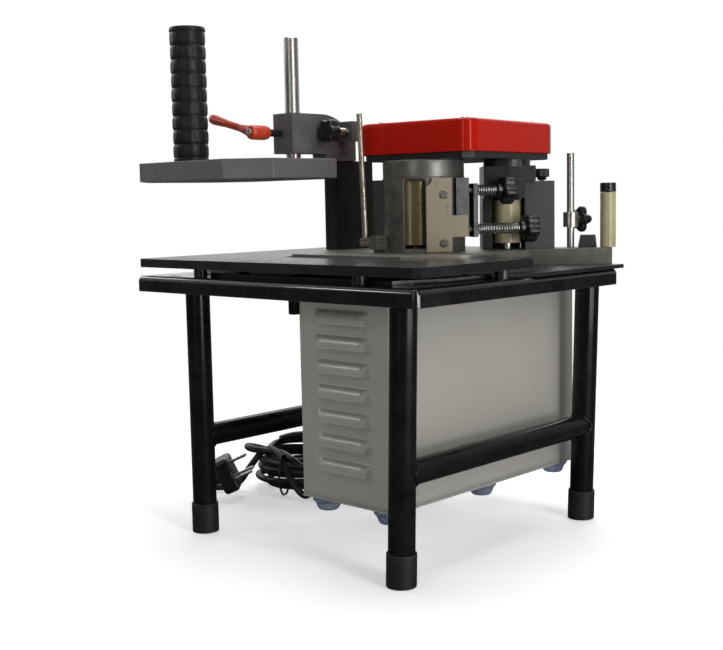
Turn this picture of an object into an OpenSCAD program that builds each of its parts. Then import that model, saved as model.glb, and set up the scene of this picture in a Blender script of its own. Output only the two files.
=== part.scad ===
// Table-top edge banding machine: a welded stand carries the table plate,
// the glue and feed units, the tape tray with its handle, and the control box.
// Origin: middle of the whole machine's footprint, on the floor. +X runs along
// the 400 mm front of the stand, +Y to the rear, +Z up.

/* [Stand] */
// Length of the stand along X
stand_x = 400; // [390:5:420]
// Depth of the stand along Y
stand_y = 326; // [320:2:336]
// Height of the frame's top face above the floor
frame_top = 271; // [268:1:275]
// Height of the frame's outer wall
frame_wall_h = 17; // [15:1:20]
// Width of the frame's top flange
flange_w = 42; // [40:1:46]
// Outside diameter of the leg tube
leg_d = 25; // [24:0.5:26]
// Place of the left pair of legs along X
left_leg_x = -115; // [-125:1:-110]
// Place of the right pair of legs along X
right_leg_x = 172; // [168:1:174]
// Distance of every leg from the middle, along Y
leg_y = 147; // [140:1:147]
// Inward lean of the right pair of legs, in degrees
right_lean = 1.8; // [0:0.1:2.5]
// Height of the side tubes' axis
stretcher_z = 102.5; // [90:0.5:120]
// Height of the rubber foot caps
cap_h = 31; // [28:1:36]

/* [Table] */
// Thickness of the table plate
plate_t = 9; // [8:0.5:10]
// Gap between the frame and the table plate
plate_gap = 9; // [8:0.5:10]

/* [Machine base] */
// Thickness of the thin sheet under the base
sheet_t = 4; // [3:0.5:5]
// Thickness of the machine's base slab
slab_t = 17; // [15:0.5:18]

/* [Gear train] */
// Gear module
gear_m = 1.5; // [1.5:0.5:1.5]
// Teeth of the three small gears
small_teeth = 16; // [16:1:16]
// Teeth of the big idler gear
idler_teeth = 60; // [60:10:60]
// Width of the gears
gear_w = 11; // [9:1:13]
// Place of the idler's axis, X
idler_x = 55; // [54:0.5:56]
// Place of the idler's axis, Y
idler_y = 70; // [69:0.5:71]
// Width of the red gear cover
cover_w = 143; // [142:1:146]
// Length of the red gear cover
cover_l = 170; // [168:1:174]
// Height of the red gear cover
cover_h = 33; // [31:1:36]
// Turn of the cover on the machine, in degrees
cover_turn = 5; // [5:1:5]

/* [Glue unit] */
// Radius of the glue pot
pot_r = 43; // [42:0.5:44]
// Radius of the glue roller
glue_roller_r = 24; // [22:0.5:24]
// Turn of the gate plate's face, in degrees
gate_turn = 43.5; // [42:0.5:45]

/* [Feed unit] */
// Radius of the feed roller
feed_roller_r = 15; // [14:0.5:15.5]
// Height of the feed roller
feed_roller_h = 46; // [42:1:46]
// Turn of the pressure spindles, in degrees
press_turn = 60; // [59:0.5:61]
// Travel of the pressure shoe
shoe_travel = 3; // [2:0.5:3]

/* [Tape tray] */
// Diameter of the tray's lift rod
rod_d = 16; // [16:1:16]
// Size of the tray along X
tray_x = 210; // [205:1:212]
// Size of the tray along Y
tray_y = 161; // [156:1:162]
// Cut-off at each of the tray's corners
tray_cut = 36; // [30:1:40]
// Thickness of the tray
tray_t = 20; // [18:1:20]
// Diameter of the hand grip
grip_d = 38; // [36:0.5:40]
// Height of the hand grip
grip_h = 141; // [135:1:150]

/* [Control box] */
// Width of the box along X
box_x = 120; // [115:1:120]
// Length of the box along Y
box_y = 301; // [290:1:301]
// Height of the box
box_h = 196; // [190:1:196]
// Thickness of its sheet steel
box_t = 1.5; // [1.2:0.1:2]

/* [Hidden] */
$fn = 64;

eps = 0.01;
fit = 0.05;                     // radial clearance of a running fit
frame_low = frame_top - frame_wall_h;
flange_t = 4;
wall_t = 3;
plate_low = frame_top + plate_gap;
plate_top = plate_low + plate_t;
slab_low = frame_top + sheet_t;
slab_top = slab_low + slab_t;

// Pot, shafts and gear train. Each small gear sits on a whole number of idler teeth.
gear_centres = gear_m * (small_teeth + idler_teeth) / 2;
motor_dir = 162;
glue_dir = -96;
feed_dir = 48;
idler_at = [idler_x, idler_y];
function on_train(dir) = idler_at + gear_centres * [cos(dir), sin(dir)];
motor_at = on_train(motor_dir);
glue_at = on_train(glue_dir);
feed_at = on_train(feed_dir);
pot_at = [46, 30];
pot_top = slab_top + 77;
ring_h = 18;
deck_low = pot_top + ring_h;    // underside of the top plate
deck_t = 6.5;
deck_top = deck_low + deck_t;
gear_low = deck_top + 3.5;
cover_at = [129, 4];            // near right corner of the cover
cover_wall = 2;
glue_shaft_r = 6;
feed_shaft_r = 5;
idler_pin_r = 5;
bush_r = 9;

// Tape tray, its rod, arm and handle
rod_at = [-92, -26];
tray_low = 371;
tray_top = tray_low + tray_t;
tray_corner = [-230.5, -157];   // low X, low Y corner of its square outline
grip_at = [-150, -121];
arm_low = 399;
arm_top = 442;
block_w = 30;
post_x = [-99, -80];
post_y = [27, 88];
post_top = tray_top + 0.5;
lever_z = 421;
lever_x = rod_at[0] - 4;

// Pressure spindles, in a frame that starts at the pot and points at the feed shaft
press_side = -36;
upper_z = 355;
lower_z = 315;
spindle_r = 3;
shoe_from = 36;

// Guides at the slab's outer end
guide_at = [141, 162];
collar_z = 322;
end_at = [180, 174];
arm_turn = 31;

// Trip rod, hinged on a lug of the glue pot
trip_at = [8, -20, 303];
trip_boss_r = 4.5;
trip_lean = 2.6;

// Control box
box_at = [18, -129];
box_low = 58;
box_top = box_low + box_h;
louvre_count = 7;
louvre_pitch = 24;
louvre_first = 87;
louvre_l = 67;

// ---- shared shapes ----

// From the middle of the stand, where the sizes below are taken, to the origin
module centred() { translate([17.5, -13.5, 0]) children(); }

module at(p, z = 0) { translate([p[0], p[1], z]) children(); }

// Turned frame at the glue pot whose x runs along the gate plate's face
module at_gate(z = 0) { at(pot_at, z) rotate(gate_turn) children(); }

// Turned frame at the feed shaft, square to the gate
module at_feed(z = 0) { at(feed_at, z) rotate(gate_turn) children(); }

// Turned frame whose x runs from the pot to the feed shaft along the spindles
module at_press(z = 0) { at(pot_at, z) rotate(press_turn) translate([0, press_side, 0]) children(); }

// Cylinder along +X of the present frame
module bar_x(r, l) { rotate([0, 90, 0]) cylinder(r = r, h = l); }

// Cylinder along +Y of the present frame
module bar_y(r, l) { rotate([-90, 0, 0]) cylinder(r = r, h = l); }

// Box given by its low and high corners
module block(low, high) { translate(low) cube(high - low); }

// Star knob along +Z: a hub with round lobes
module star_knob(r, h, lobes) {
    lobe_r = r * 0.3;
    lobe_step = 0.6;
    cylinder(r = r * 0.72, h = h);
    for (i = [0 : lobes - 1])
        rotate(i * 360 / lobes) translate([r - lobe_r, 0, lobe_step])
            cylinder(r = lobe_r, h = h - 2 * lobe_step);
}

// Coil spring along +X, drawn as separate close turns joined by a thin strip
module spring_x(r, wire, l, turns) {
    pitch = (l - 2 * wire) / (turns - 1);
    for (i = [0 : turns - 1])
        translate([wire + i * pitch, 0, 0]) rotate([0, 90, 0])
            rotate_extrude() translate([r, 0]) circle(r = wire, $fn = 16);
    translate([wire, 0, -r]) bar_x(wire * 0.7, l - 2 * wire, $fn = 16);
}

// Spur gear with straight-sided teeth, backlash and one tooth pointing along +X
module spur(teeth, bore, h, turn = 0) {
    pitch_r = gear_m * teeth / 2;
    root_r = pitch_r - 1.2 * gear_m;
    tip_r = pitch_r + 0.75 * gear_m;
    step = 360 / teeth;
    root_a = step * 0.27;
    tip_a = step * 0.09;
    rotate(turn) difference() {
        linear_extrude(h) polygon([
            for (i = [0 : teeth - 1])
                for (p = [[root_r, -root_a], [tip_r, -tip_a], [tip_r, tip_a], [root_r, root_a]])
                    p[0] * [cos(i * step + p[1]), sin(i * step + p[1])]
        ]);
        translate([0, 0, -eps]) cylinder(r = bore, h = h + 2 * eps);
    }
}

// Small gear in mesh with the idler: a gap faces the idler's axis
module train_gear(dir, bore) {
    at(on_train(dir), gear_low) spur(small_teeth, bore, gear_w + 1, dir + 180 + 180 / small_teeth);
}

// Leg axis, leaning inwards on the right side
module leg_axis(side) {
    x = side < 0 ? left_leg_x : right_leg_x;
    lean = side < 0 ? 0 : right_lean;
    translate([x, 0, frame_top]) rotate([0, lean, 0]) translate([0, 0, -frame_top]) children();
}

// ---- stand ----

module stand_frame() {
    slots = [-150, -75, 0, 75, 150];
    centred() color("#151515") difference() {
        union() {
            block([-stand_x / 2, -stand_y / 2, frame_low], [stand_x / 2, stand_y / 2, frame_top]);
            block([8, -stand_y / 2 + flange_w - 12, frame_low - 17], [17.5, -stand_y / 2 + flange_w + 4, frame_top - 0.5]);
        }
        block([-stand_x / 2 + wall_t, -stand_y / 2 + wall_t, frame_low - eps],
              [stand_x / 2 - wall_t, stand_y / 2 - wall_t, frame_top - flange_t]);
        block([-stand_x / 2 + flange_w, -stand_y / 2 + flange_w, frame_low],
              [stand_x / 2 - flange_w, stand_y / 2 - flange_w, frame_top + 1]);
        for (x = slots, s = [-1, 1])
            translate([x, s * (stand_y / 2 - 15), frame_low]) {
                translate([-6, -3.5, 0]) cube([12, 7, frame_wall_h + 1]);
                for (e = [-6, 6]) translate([e, 0, 0]) cylinder(r = 3.5, h = frame_wall_h + 1);
            }
        for (p = spacer_places) at(p, frame_low) cylinder(r = 2.6, h = frame_wall_h + 1);
    }
}

module side_legs(side) {
    leg_low = 4;
    intersection() {
        leg_axis(side) difference() {
            union() {
                for (s = [-1, 1]) translate([0, s * leg_y, 0]) cylinder(d = leg_d, h = frame_top);
                translate([0, -leg_y, stretcher_z]) bar_y(leg_d / 2 - 0.5, 2 * leg_y);
            }
            for (s = [-1, 1]) translate([0, s * leg_y, -1]) cylinder(r = leg_d / 2 - 2, h = frame_top + 2);
            translate([0, -leg_y + leg_d / 2, stretcher_z]) bar_y(leg_d / 2 - 2.5, 2 * leg_y - leg_d);
        }
        block([-stand_x, -stand_y, leg_low], [stand_x, stand_y, frame_top - flange_t]);
    }
}

module stand_legs() {
    centred() color("#131313") for (side = [-1, 1]) side_legs(side);
}

module foot_caps() {
    centred() color("#1c1c1c") for (side = [-1, 1], s = [-1, 1]) intersection() {
        leg_axis(side) translate([0, s * leg_y, 0]) difference() {
            translate([0, 0, -5]) cylinder(r = leg_d / 2 + 1.6, h = cap_h + 5);
            translate([0, 0, 3.2]) cylinder(r = leg_d / 2 + fit, h = cap_h);
        }
        block([-stand_x, -stand_y, 0], [stand_x, stand_y, frame_top]);
    }
}

spacer_places = [
    [-110, -146], [118, -146], [-186, -20], [-186, 148], [190, -28]
];

module table_plate() {
    front = -160;
    centred() color("#2a2b2c") difference() {
        translate([0, 0, plate_low]) linear_extrude(plate_t) polygon([
            [-stand_x / 2 + 5, front], [stand_x / 2 - 6, front], [stand_x / 2, front + 6],
            [stand_x / 2, 8], [184, 32], [141, -29], [101, -72], [-62, -72], [-116, 60],
            [-128, 163], [-stand_x / 2, 163], [-stand_x / 2, front + 5]
        ]);
        for (p = spacer_places) at(p, plate_low - eps) {
            cylinder(r = 2.6, h = plate_t + 1);
            translate([0, 0, plate_t - 2.8]) cylinder(r1 = 2.6, r2 = 5.4, h = 2.83);
        }
    }
}

module table_spacers() {
    centred() color("#3a3a3a") for (p = spacer_places) at(p, frame_top) difference() {
        cylinder(r = 7, h = plate_gap);
        translate([0, 0, -eps]) cylinder(r = 2.6, h = plate_gap + 1);
    }
}

module table_screws() {
    centred() color("silver") for (p = spacer_places) at(p) difference() {
        union() {
            translate([0, 0, frame_low + 4]) cylinder(r = 2.5, h = plate_top - frame_low - 6);
            translate([0, 0, plate_top - 2.8]) cylinder(r1 = 2.5, r2 = 5.2, h = 2.7);
        }
        for (a = [0, 90]) translate([0, 0, plate_top - 1]) rotate(a)
            translate([-2.6, -0.5, 0]) cube([5.2, 1, 2]);
    }
}

// ---- machine base ----

slab_outline = [
    [-56, -66], [97, -66], [136, -25], [149, -4], [149, 60], [117, 117], [192, 163], [175, 190],
    [95, 150], [-30, 150], [-112, 110], [-111, 60]
];

module base_sheet() {
    edge = stand_x / 2 + 3;
    centred() color("#141414") difference() {
        translate([0, 0, frame_top]) linear_extrude(sheet_t)
            polygon([
                [-150, -105], [-104, -138], [150, -138], [174, -90], [174, -30], [edge, 20], [edge, 168], [-150, 168]
            ]);
        for (p = base_bolts) at(p, frame_top - 1) cylinder(r = 3.2, h = sheet_t + 2);
    }
}

base_bolts = [[-70, -50], [85, -55], [140, 30], [-90, 108], [40, 140]];

module base_slab() {
    centred() color("#8d8b86") difference() {
        translate([0, 0, slab_low]) linear_extrude(slab_t) polygon(slab_outline);
        at(feed_at, slab_top - 10) cylinder(r = bush_r, h = 11);
        at(guide_at, slab_low + 4) cylinder(r = 4, h = slab_t);
        at(end_at, slab_low + 3) cylinder(r = 3, h = slab_t);
        for (p = base_bolts) at(p, slab_low - 1) {
            cylinder(r = 3.2, h = slab_t + 2);
            translate([0, 0, slab_t - 5]) cylinder(r = 5.5, h = 10);
        }
    }
}

// ---- tape tray ----

module tray_post() {
    centred() color("#101010") difference() {
        block([post_x[0], post_y[0], slab_top], [post_x[1], post_y[1], post_top]);
        block([post_x[0] + 3, post_y[0] + 3, slab_top + 6], [post_x[1] - 3, post_y[1] - 3, post_top - 6]);
    }
}

module tray_arm() {
    face_x = rod_at[0] + block_w / 2;
    leg_y0 = 10;
    leg_y1 = 57;
    lug_y = [28, 40];
    centred() color("#77777a") difference() {
        union() {
            at(rod_at) block([-block_w / 2, -block_w / 2, arm_low], [block_w / 2, block_w / 2, arm_top]);
            intersection() {
                union() {
                    block([post_x[0], rod_at[1], arm_low], [face_x, leg_y1, arm_top]);
                    block([post_x[0], leg_y0, post_top], [face_x, leg_y1, arm_low + 1]);
                }
                translate([post_x[0] - 1, leg_y0 - 6, arm_top - 60]) union() {
                    bar_x(60, face_x - post_x[0] + 2, $fn = 96);
                    translate([0, -60, -40]) cube([60, 60 , 100]);
                    translate([0, 0, -40]) cube([60, 60, 75]);
                }
            }
            block([face_x - 1, lug_y[0], 412], [face_x + 23, lug_y[1], 434]);
        }
        at(rod_at, arm_low - 1) cylinder(r = rod_d / 2 + fit, h = arm_top - arm_low + 2);
        translate([lever_x, rod_at[1] - block_w / 2 - 1, lever_z]) bar_y(4 + fit, block_w / 2 - 7);
        translate([face_x + 14, lug_y[0] - 1, 423]) bar_y(4 + fit, 14);
    }
}

module tray_rod() {
    centred() color("#c9ccd0") at(rod_at, tray_low + 0.5) {
        cylinder(r = rod_d / 2, h = 151);
        translate([0, 0, 151 - eps]) cylinder(r1 = rod_d / 2, r2 = rod_d / 2 - 1, h = 1);
    }
}

module tape_tray() {
    c = tray_cut;
    centred() color("#6d6e70") difference() {
        translate([tray_corner[0], tray_corner[1], tray_low]) linear_extrude(tray_t) polygon([
            [c, 0], [tray_x - c, 0], [tray_x, c], [tray_x, tray_y - c],
            [tray_x - c, tray_y], [c, tray_y], [0, tray_y - c], [0, c]
        ]);
        at(rod_at, tray_low - 1) cylinder(r = rod_d / 2 + fit, h = tray_t + 2);
        at(grip_at, tray_low - 1) cylinder(r = 4 + fit, h = tray_t + 2);
        at(grip_at, tray_low - 1) cylinder(r = 8, h = 7);
    }
}

module handle_core() {
    centred() color("silver") at(grip_at, tray_low) {
        translate([0, 0, 0.5]) cylinder(r = 7, h = 5.5);
        translate([0, 0, 5]) cylinder(r = 4, h = tray_t + grip_h - 15);
    }
}

module handle_grip() {
    rows = 9;
    row_h = (grip_h - 8) / rows;
    centred() color("#0e0e0e") at(grip_at, tray_top) difference() {
        rotate_extrude() polygon(concat(
            [[4 + fit, 0], [grip_d / 2, 0], [grip_d / 2, 3]],
            [for (i = [0 : rows - 1]) for (p = [[-1.6, 0.12], [0, 0.3], [0, 0.75], [-1.6, 0.92]])
                [grip_d / 2 + p[0], 4 + (i + p[1]) * row_h]],
            [[grip_d / 2, grip_h - 3], [grip_d / 2 - 1.5, grip_h], [4 + fit, grip_h]]
        ));
        translate([0, 0, grip_h - 9]) cylinder(r = 4.2, h = 2);
    }
}

module clamp_lever() {
    hub_y = rod_at[1] - block_w / 2 - 18;
    centred() color("#c63a1e") translate([lever_x, hub_y, lever_z]) difference() {
        union() {
            translate([0, -26, 0]) bar_y(8, 26);
            translate([0, -20, 0]) rotate([0, -75, 0]) cylinder(r1 = 6.5, r2 = 4.5, h = 68);
            translate([0, -20, 0]) rotate([0, -75, 0]) translate([0, 0, 68]) sphere(r = 6);
        }
        translate([0, -12, 0]) bar_y(4 + fit, 13);
        translate([0, -27, 0]) bar_y(3.2, 4);
    }
}

module clamp_stud() {
    tip = rod_at[1] - rod_d / 2 - 0.6;
    centred() color("#1a1a1a") translate([lever_x, tip - 36, lever_z]) bar_y(4, 36);
}

module tension_knob() {
    at_x = rod_at[0] + block_w / 2 + 14;
    centred() color("#0f0f0f") translate([at_x, 8, lever_z + 2]) {
        rotate([90, 0, 0]) star_knob(13, 14, 6);
        translate([0, -3, 0]) bar_y(4, 40);
    }
}

// ---- gear train ----

// Turned frame at the cover's near right corner: x to the right, y to the rear
module at_cover(z = 0) { at(cover_at, z) rotate(cover_turn) children(); }

module cover_plan(inset, h) {
    c = 9;
    x0 = -cover_w + inset;
    x1 = -inset;
    y0 = inset;
    y1 = cover_l - inset;
    linear_extrude(h) polygon([
        [x0 + c, y0], [x1 - c, y0], [x1, y0 + c], [x1, y1 - c],
        [x1 - c, y1], [x0 + c, y1], [x0, y1 - c], [x0, y0 + c]
    ]);
}

module gear_cover() {
    centred() color("#c8200f") at_cover(deck_top) difference() {
        cover_plan(0, cover_h);
        translate([0, 0, -1]) cover_plan(cover_wall, cover_h - cover_wall + 1);
    }
}

module top_plate() {
    centred() color("#161616") difference() {
        union() {
            at_cover(deck_low) cover_plan(3, deck_t);
            at(idler_at, deck_low) {
                cylinder(r = 8, h = deck_t + 3.3);
                cylinder(r = idler_pin_r, h = deck_t + 3.5 + gear_w + 6);
            }
        }
        for (p = [glue_at, feed_at]) at(p, deck_low - 1) cylinder(r = bush_r, h = deck_t + 2);
        at(motor_at, deck_low - 1) cylinder(r = 8, h = deck_t + 2);
    }
}

module gear_motor() {
    r = 28;
    centred() color("#1d1e20") at(motor_at) difference() {
        union() {
            translate([0, 0, slab_top]) cylinder(r = r, h = 58);
            translate([0, 0, slab_top + 58]) cylinder(r = r - 2, h = 4);
            translate([0, 0, slab_top + 62]) cylinder(r = r, h = deck_low - slab_top - 62);
        }
        translate([0, 0, deck_low - 12]) cylinder(r = 4 + fit, h = 13);
    }
}

module motor_gear() {
    centred() color("goldenrod") {
        train_gear(motor_dir, 4 - 0.5);
        at(motor_at, deck_low - 11) cylinder(r = 4, h = 11 + deck_t + 3.5 + gear_w + 3);
    }
}

module glue_gear() { centred() color("goldenrod") train_gear(glue_dir, glue_shaft_r + 0.02); }

module feed_gear() { centred() color("goldenrod") train_gear(feed_dir, feed_shaft_r + 0.02); }

module idler_gear() {
    centred() color("#b9a468") at(idler_at, gear_low) difference() {
        spur(idler_teeth, idler_pin_r + fit, gear_w, feed_dir);
        for (i = [0 : 5]) rotate(i * 60) translate([25, 0, -1]) cylinder(r = 7, h = gear_w + 2);
    }
}

module bush(p, z, h, bore) {
    at(p, z) difference() {
        cylinder(r = bush_r, h = h);
        translate([0, 0, -1]) cylinder(r = bore + fit, h = h + 2);
    }
}

module shaft_bushes() {
    centred() color("#b08d57") {
        bush(glue_at, slab_top, 6, glue_shaft_r);
        bush(glue_at, deck_low, deck_t, glue_shaft_r);
        bush(feed_at, slab_top - 10, 10, feed_shaft_r);
        bush(feed_at, deck_low, deck_t, feed_shaft_r);
    }
}

// ---- glue unit ----

module glue_pot() {
    h = pot_top - slab_top;
    centred() color("#74746f") difference() {
        union() {
            at(pot_at, slab_top) cylinder(r = pot_r, h = h);
            block([4, -4, slab_top], [46, 30, pot_top - 1.5]);
            at_gate(slab_top) block([6, -pot_r, 0], [26, -15, h - 2]);
            block([20, trip_at[1] - 7, trip_at[2] - 7], [30, 4, trip_at[2] + 7]);
        }
        at(pot_at, slab_top + 6) cylinder(r = pot_r - 7, h = h);
        at(glue_at, slab_top + 6) cylinder(r = glue_roller_r + 1, h = h);
        at(glue_at, slab_top - 1) cylinder(r = bush_r, h = 10);
        for (p = heater_places) at(p, slab_top + 8) cylinder(r = 4 + fit, h = h);
        for (z = gate_screw_z) at_gate(z) translate([18, -pot_r - 1, 0]) bar_y(2 + fit, 9);
        at_gate(knob_z) translate([pot_r - 9, 0, 0]) bar_x(3 + fit, 12);
        translate([19, trip_at[1], trip_at[2]]) bar_x(trip_boss_r + fit, 12);
    }
}

heater_places = [[11, 3], [11, 23]];
gate_screw_z = [302, 351];
knob_z = 336;

module pot_ring() {
    centred() color("#7d7d79") difference() {
        at(pot_at, pot_top) cylinder(r = pot_r - 0.5, h = ring_h);
        at(glue_at, pot_top - 1) cylinder(r = bush_r, h = ring_h + 2);
    }
}

module glue_roller() {
    low = slab_top + 8;
    top = pot_top - 2;
    centred() color("#8a7f4e") at(glue_at) {
        translate([0, 0, low]) cylinder(r = glue_roller_r, h = top - low);
        translate([0, 0, slab_top + 0.5]) cylinder(r = glue_shaft_r, h = gear_low + gear_w + 3 - slab_top);
    }
}

module gate_plate() {
    h = pot_top - slab_top - 2;
    tab = [15, 37];
    centred() color("#9a8f7f") difference() {
        at_gate(slab_top + 1) {
            block([0, -pot_r - 3, 0], [26, -pot_r, h]);
            block([25, -pot_r - 3, tab[0]], [42, -pot_r, tab[1]]);
        }
        at_gate(slab_top + 1 + h) translate([-3, -pot_r - 5, 0]) bar_y(9, 10);
        for (z = gate_screw_z) at_gate(z) translate([18, -pot_r - 4, 0]) bar_y(2 + fit, 6);
    }
}

module pan_screw(shank) {
    difference() {
        union() {
            cylinder(r = 2, h = shank + eps);
            translate([0, 0, shank]) cylinder(r = 4.1, h = 1.6);
            translate([0, 0, shank + 1.6 - eps]) cylinder(r1 = 4.1, r2 = 2.8, h = 1);
        }
        for (a = [0, 90]) rotate(a) translate([-2.3, -0.5, shank + 1.2]) cube([4.6, 1, 3]);
    }
}

module pan_screws() {
    centred() color("silver") for (z = gate_screw_z)
        at_gate(z) translate([18, -pot_r - 3, 0]) rotate([90, 0, 0]) translate([0, 0, -10]) pan_screw(10);
}

module pot_heaters() {
    centred() color("#b7b7b7") for (p = heater_places) at(p, slab_top + 9) cylinder(r = 4, h = 60);
}

module glue_knob() {
    centred() color("#101010") at_gate(knob_z) translate([pot_r - 8, 0, 0]) {
        bar_x(3, 12);
        translate([9, 0, 0]) bar_x(7.5, 8);
    }
}

// ---- feed unit ----

module feed_shaft() {
    centred() color("silver") at(feed_at, slab_top - 9.5)
        cylinder(r = feed_shaft_r, h = gear_low + gear_w + 3 - slab_top + 9.5);
}

module feed_roller() {
    centred() color("#d8d2b4") at(feed_at, slab_top + 6.5) difference() {
        cylinder(r = feed_roller_r, h = feed_roller_h);
        translate([0, 0, -1]) cylinder(r = feed_shaft_r + 0.02, h = feed_roller_h + 2);
    }
}

module feed_housing() {
    body_low = slab_top + 54;
    step_z = slab_top + 72;
    cap_low = slab_top + 88;
    centred() color("#131415") difference() {
        union() {
            at_feed() block([-27, -22, body_low], [16.5, 24, step_z + 1]);
            at_feed() block([-27, -22, step_z], [28, 24, cap_low]);
            at_feed() block([-27, 17, slab_top], [16.5, 24, body_low + 1]);
            at_feed() block([-27, -8, slab_top], [-17, 24, body_low + 1]);
            at(feed_at, cap_low - 1) cylinder(r = 25, h = deck_low - cap_low + 1);
        }
        at(feed_at, body_low - 1) cylinder(r = 7, h = 80);
    }
}

module support_block() {
    centred() color("#66676a") difference() {
        at_feed() block([17, -14, slab_top], [49, 20, slab_top + 71.9]);
        at_feed() translate([38, 3, slab_top + 45]) cylinder(r = 3 + fit, h = 30);
    }
}

module thumb_screw() {
    z = slab_top + 72;
    centred() color("#121212") at_feed() translate([38, 3, 0]) {
        translate([0, 0, z - 20]) cylinder(r = 3, h = 24);
        translate([0, 0, z + 1]) cylinder(r = 5, h = 3);
        translate([0, 0, z + 3.9]) cylinder(r = 8, h = 9);
    }
}

module pressure_bracket() {
    centred() color("#191a1a") difference() {
        union() {
            at_press() block([20, -7, slab_top + 16], [34, 7, slab_top + 76]);
            at_press() block([14, 4, slab_top + 16], [34, 14, slab_top + 76]);
        }
        at(pot_at, slab_top) cylinder(r = pot_r + fit, h = 90);
        for (z = [upper_z, lower_z]) at_press(z) translate([22, 0, 0]) bar_x(spindle_r + fit, 14);
        at_gate(knob_z) translate([30, 0, 0]) bar_x(9, 40);
        at_gate(slab_top) block([-1, -60, -1], [43, -pot_r + 1, 90]);
    }
}

module pressure_spindles() {
    centred() color("#b9bcc0") {
        at_press(upper_z) translate([28, 0, 0]) bar_x(spindle_r, 58.6);
        at_press(lower_z) translate([28, 0, 0]) bar_x(spindle_r, 82.6);
    }
}

module pressure_shoe() {
    centred() color("#1c1d1e") difference() {
        at_press() translate([shoe_from + shoe_travel, 0, 0])
            block([0, -7, lower_z - 8], [5, 7, upper_z + 7]);
        for (z = [upper_z, lower_z]) at_press(z) bar_x(spindle_r + fit, 90);
    }
}

spring_from = 36 + 3 + 5 + 0.2;
upper_spring_l = 22;
lower_spring_l = 48;

module pressure_springs() {
    centred() color("silver") {
        at_press(upper_z) translate([spring_from, 0, 0]) spring_x(5, 0.8, upper_spring_l, 7);
        at_press(lower_z) translate([spring_from, 0, 0]) spring_x(5, 0.8, lower_spring_l, 13);
    }
}

module upper_knob() {
    centred() color("#0d0d0d") at_press(upper_z) translate([spring_from + upper_spring_l + 0.5, 0, 0])
        rotate([0, 90, 0]) difference() {
            union() {
                cylinder(r = 7, h = 6);
                translate([0, 0, 5]) star_knob(15, 14, 5);
            }
            translate([0, 0, -1]) cylinder(r = spindle_r + fit, h = 30);
        }
}

module lower_knob() {
    centred() color("#0d0d0d") at_press(lower_z) translate([spring_from + lower_spring_l + 0.5, 0, 0])
        rotate([0, 90, 0]) difference() {
            union() {
                cylinder(r = 7, h = 6);
                translate([0, 0, 5]) star_knob(15, 14, 5);
            }
            translate([0, 0, -1]) cylinder(r = spindle_r + fit, h = 30);
        }
}

// ---- guides ----

module guide_rod() {
    low = slab_low + 4;
    centred() color("#b4b4b2") at(guide_at, low) cylinder(r = 4, h = 393 - low);
}

module guide_collar() {
    centred() color("#a7a7a5") difference() {
        union() {
            at(guide_at, collar_z - 8) cylinder(r = 8, h = 16);
            at(guide_at, collar_z) bar_y(6, 12);
        }
        at(guide_at, collar_z - 10) cylinder(r = 4 + fit, h = 20);
        at(guide_at, collar_z) translate([0, 5, 0]) bar_y(2.5 + fit, 10);
    }
}

module guide_knob() {
    centred() color("#0d0d0d") at(guide_at, collar_z) {
        translate([0, 12.3, 0]) rotate([-90, 0, 0]) star_knob(14.5, 9, 5);
        translate([0, 5.2, 0]) bar_y(2.5, 12);
    }
}

module stop_block() {
    centred() color("#6e6f70") at([159, 167], slab_top) rotate(arm_turn) rotate([90, 0, 0])
        translate([0, 0, -6]) linear_extrude(12) polygon([[-10, 0], [10, 0], [8.5, 13.5], [-7.5, 13.5]]);
}

module end_roller() {
    centred() color("#ddd9c2") at(end_at, slab_top + 0.3) difference() {
        cylinder(r = 8.2, h = 58);
        translate([0, 0, -1]) cylinder(r = 3 + fit, h = 60);
    }
}

module end_roller_bolt() {
    centred() color("#121212") at(end_at) {
        translate([0, 0, slab_low + 3.5]) cylinder(r = 3, h = slab_t + 56);
        translate([0, 0, slab_top + 58.5]) cylinder(r = 8.4, h = 10);
    }
}

module trip_rod() {
    centred() color("#a8a290") translate(trip_at) {
        translate([-5, 0, 0]) bar_x(trip_boss_r, 25.5);
        rotate([trip_lean, 0, 0]) cylinder(r = 2.9, h = 133);
    }
}

// ---- control box ----

module louvre(z) {
    r = 14;
    sink = 7;
    translate([box_at[0] + 26, box_at[1] + sink, z]) intersection() {
        bar_x(r, louvre_l);
        translate([0, -r - 3, 0]) cube([louvre_l, r + 3 - sink + 0.5, r + 3]);
    }
}

module box_shell() {
    hi = [box_at[0] + box_x, box_at[1] + box_y, box_top];
    centred() color("#b7b5b0") difference() {
        union() {
            block([box_at[0], box_at[1], box_low], hi);
            for (i = [0 : louvre_count - 1]) louvre(louvre_first + i * louvre_pitch);
            for (x = [box_at[0] + 10, hi[0] - 30])
                block([x, 124, box_top - 1], [x + 20, 150, frame_top - flange_t]);
            for (x = [box_at[0] + 10, hi[0] - 30])
                block([x, box_at[1], box_top - 1], [x + 20, box_at[1] + 3, frame_top - flange_t]);
        }
        block([box_at[0] + box_t, box_at[1] + box_t, box_low - 1],
              [hi[0] - box_t, hi[1] - box_t, box_top - box_t]);
        for (i = [0 : louvre_count - 1])
            translate([box_at[0] + 28, box_at[1] - 5, louvre_first + i * louvre_pitch - eps])
                cube([louvre_l - 4, 8, 9]);
        translate([box_at[0] - 1, 0, 190]) cube([4, 28, 22]);
        translate([box_at[0] - 1, 75, 205]) rotate([0, 90, 0]) cylinder(r = 3.6, h = 4);
        translate([box_at[0] - 1, -75, 185]) cube([4, 46, 32]);
        translate([box_at[0] - 1, cord_y, 82]) bar_x(6, 4);
    }
}

module box_pan() {
    hi = [box_at[0] + box_x, box_at[1] + box_y];
    centred() color("#a4a29d") difference() {
        block([box_at[0], box_at[1], box_low - 1.5], [hi[0], hi[1], box_low]);
        for (p = foot_places) at(p, box_low - 2) cylinder(r = 3, h = 3);
    }
}

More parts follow.
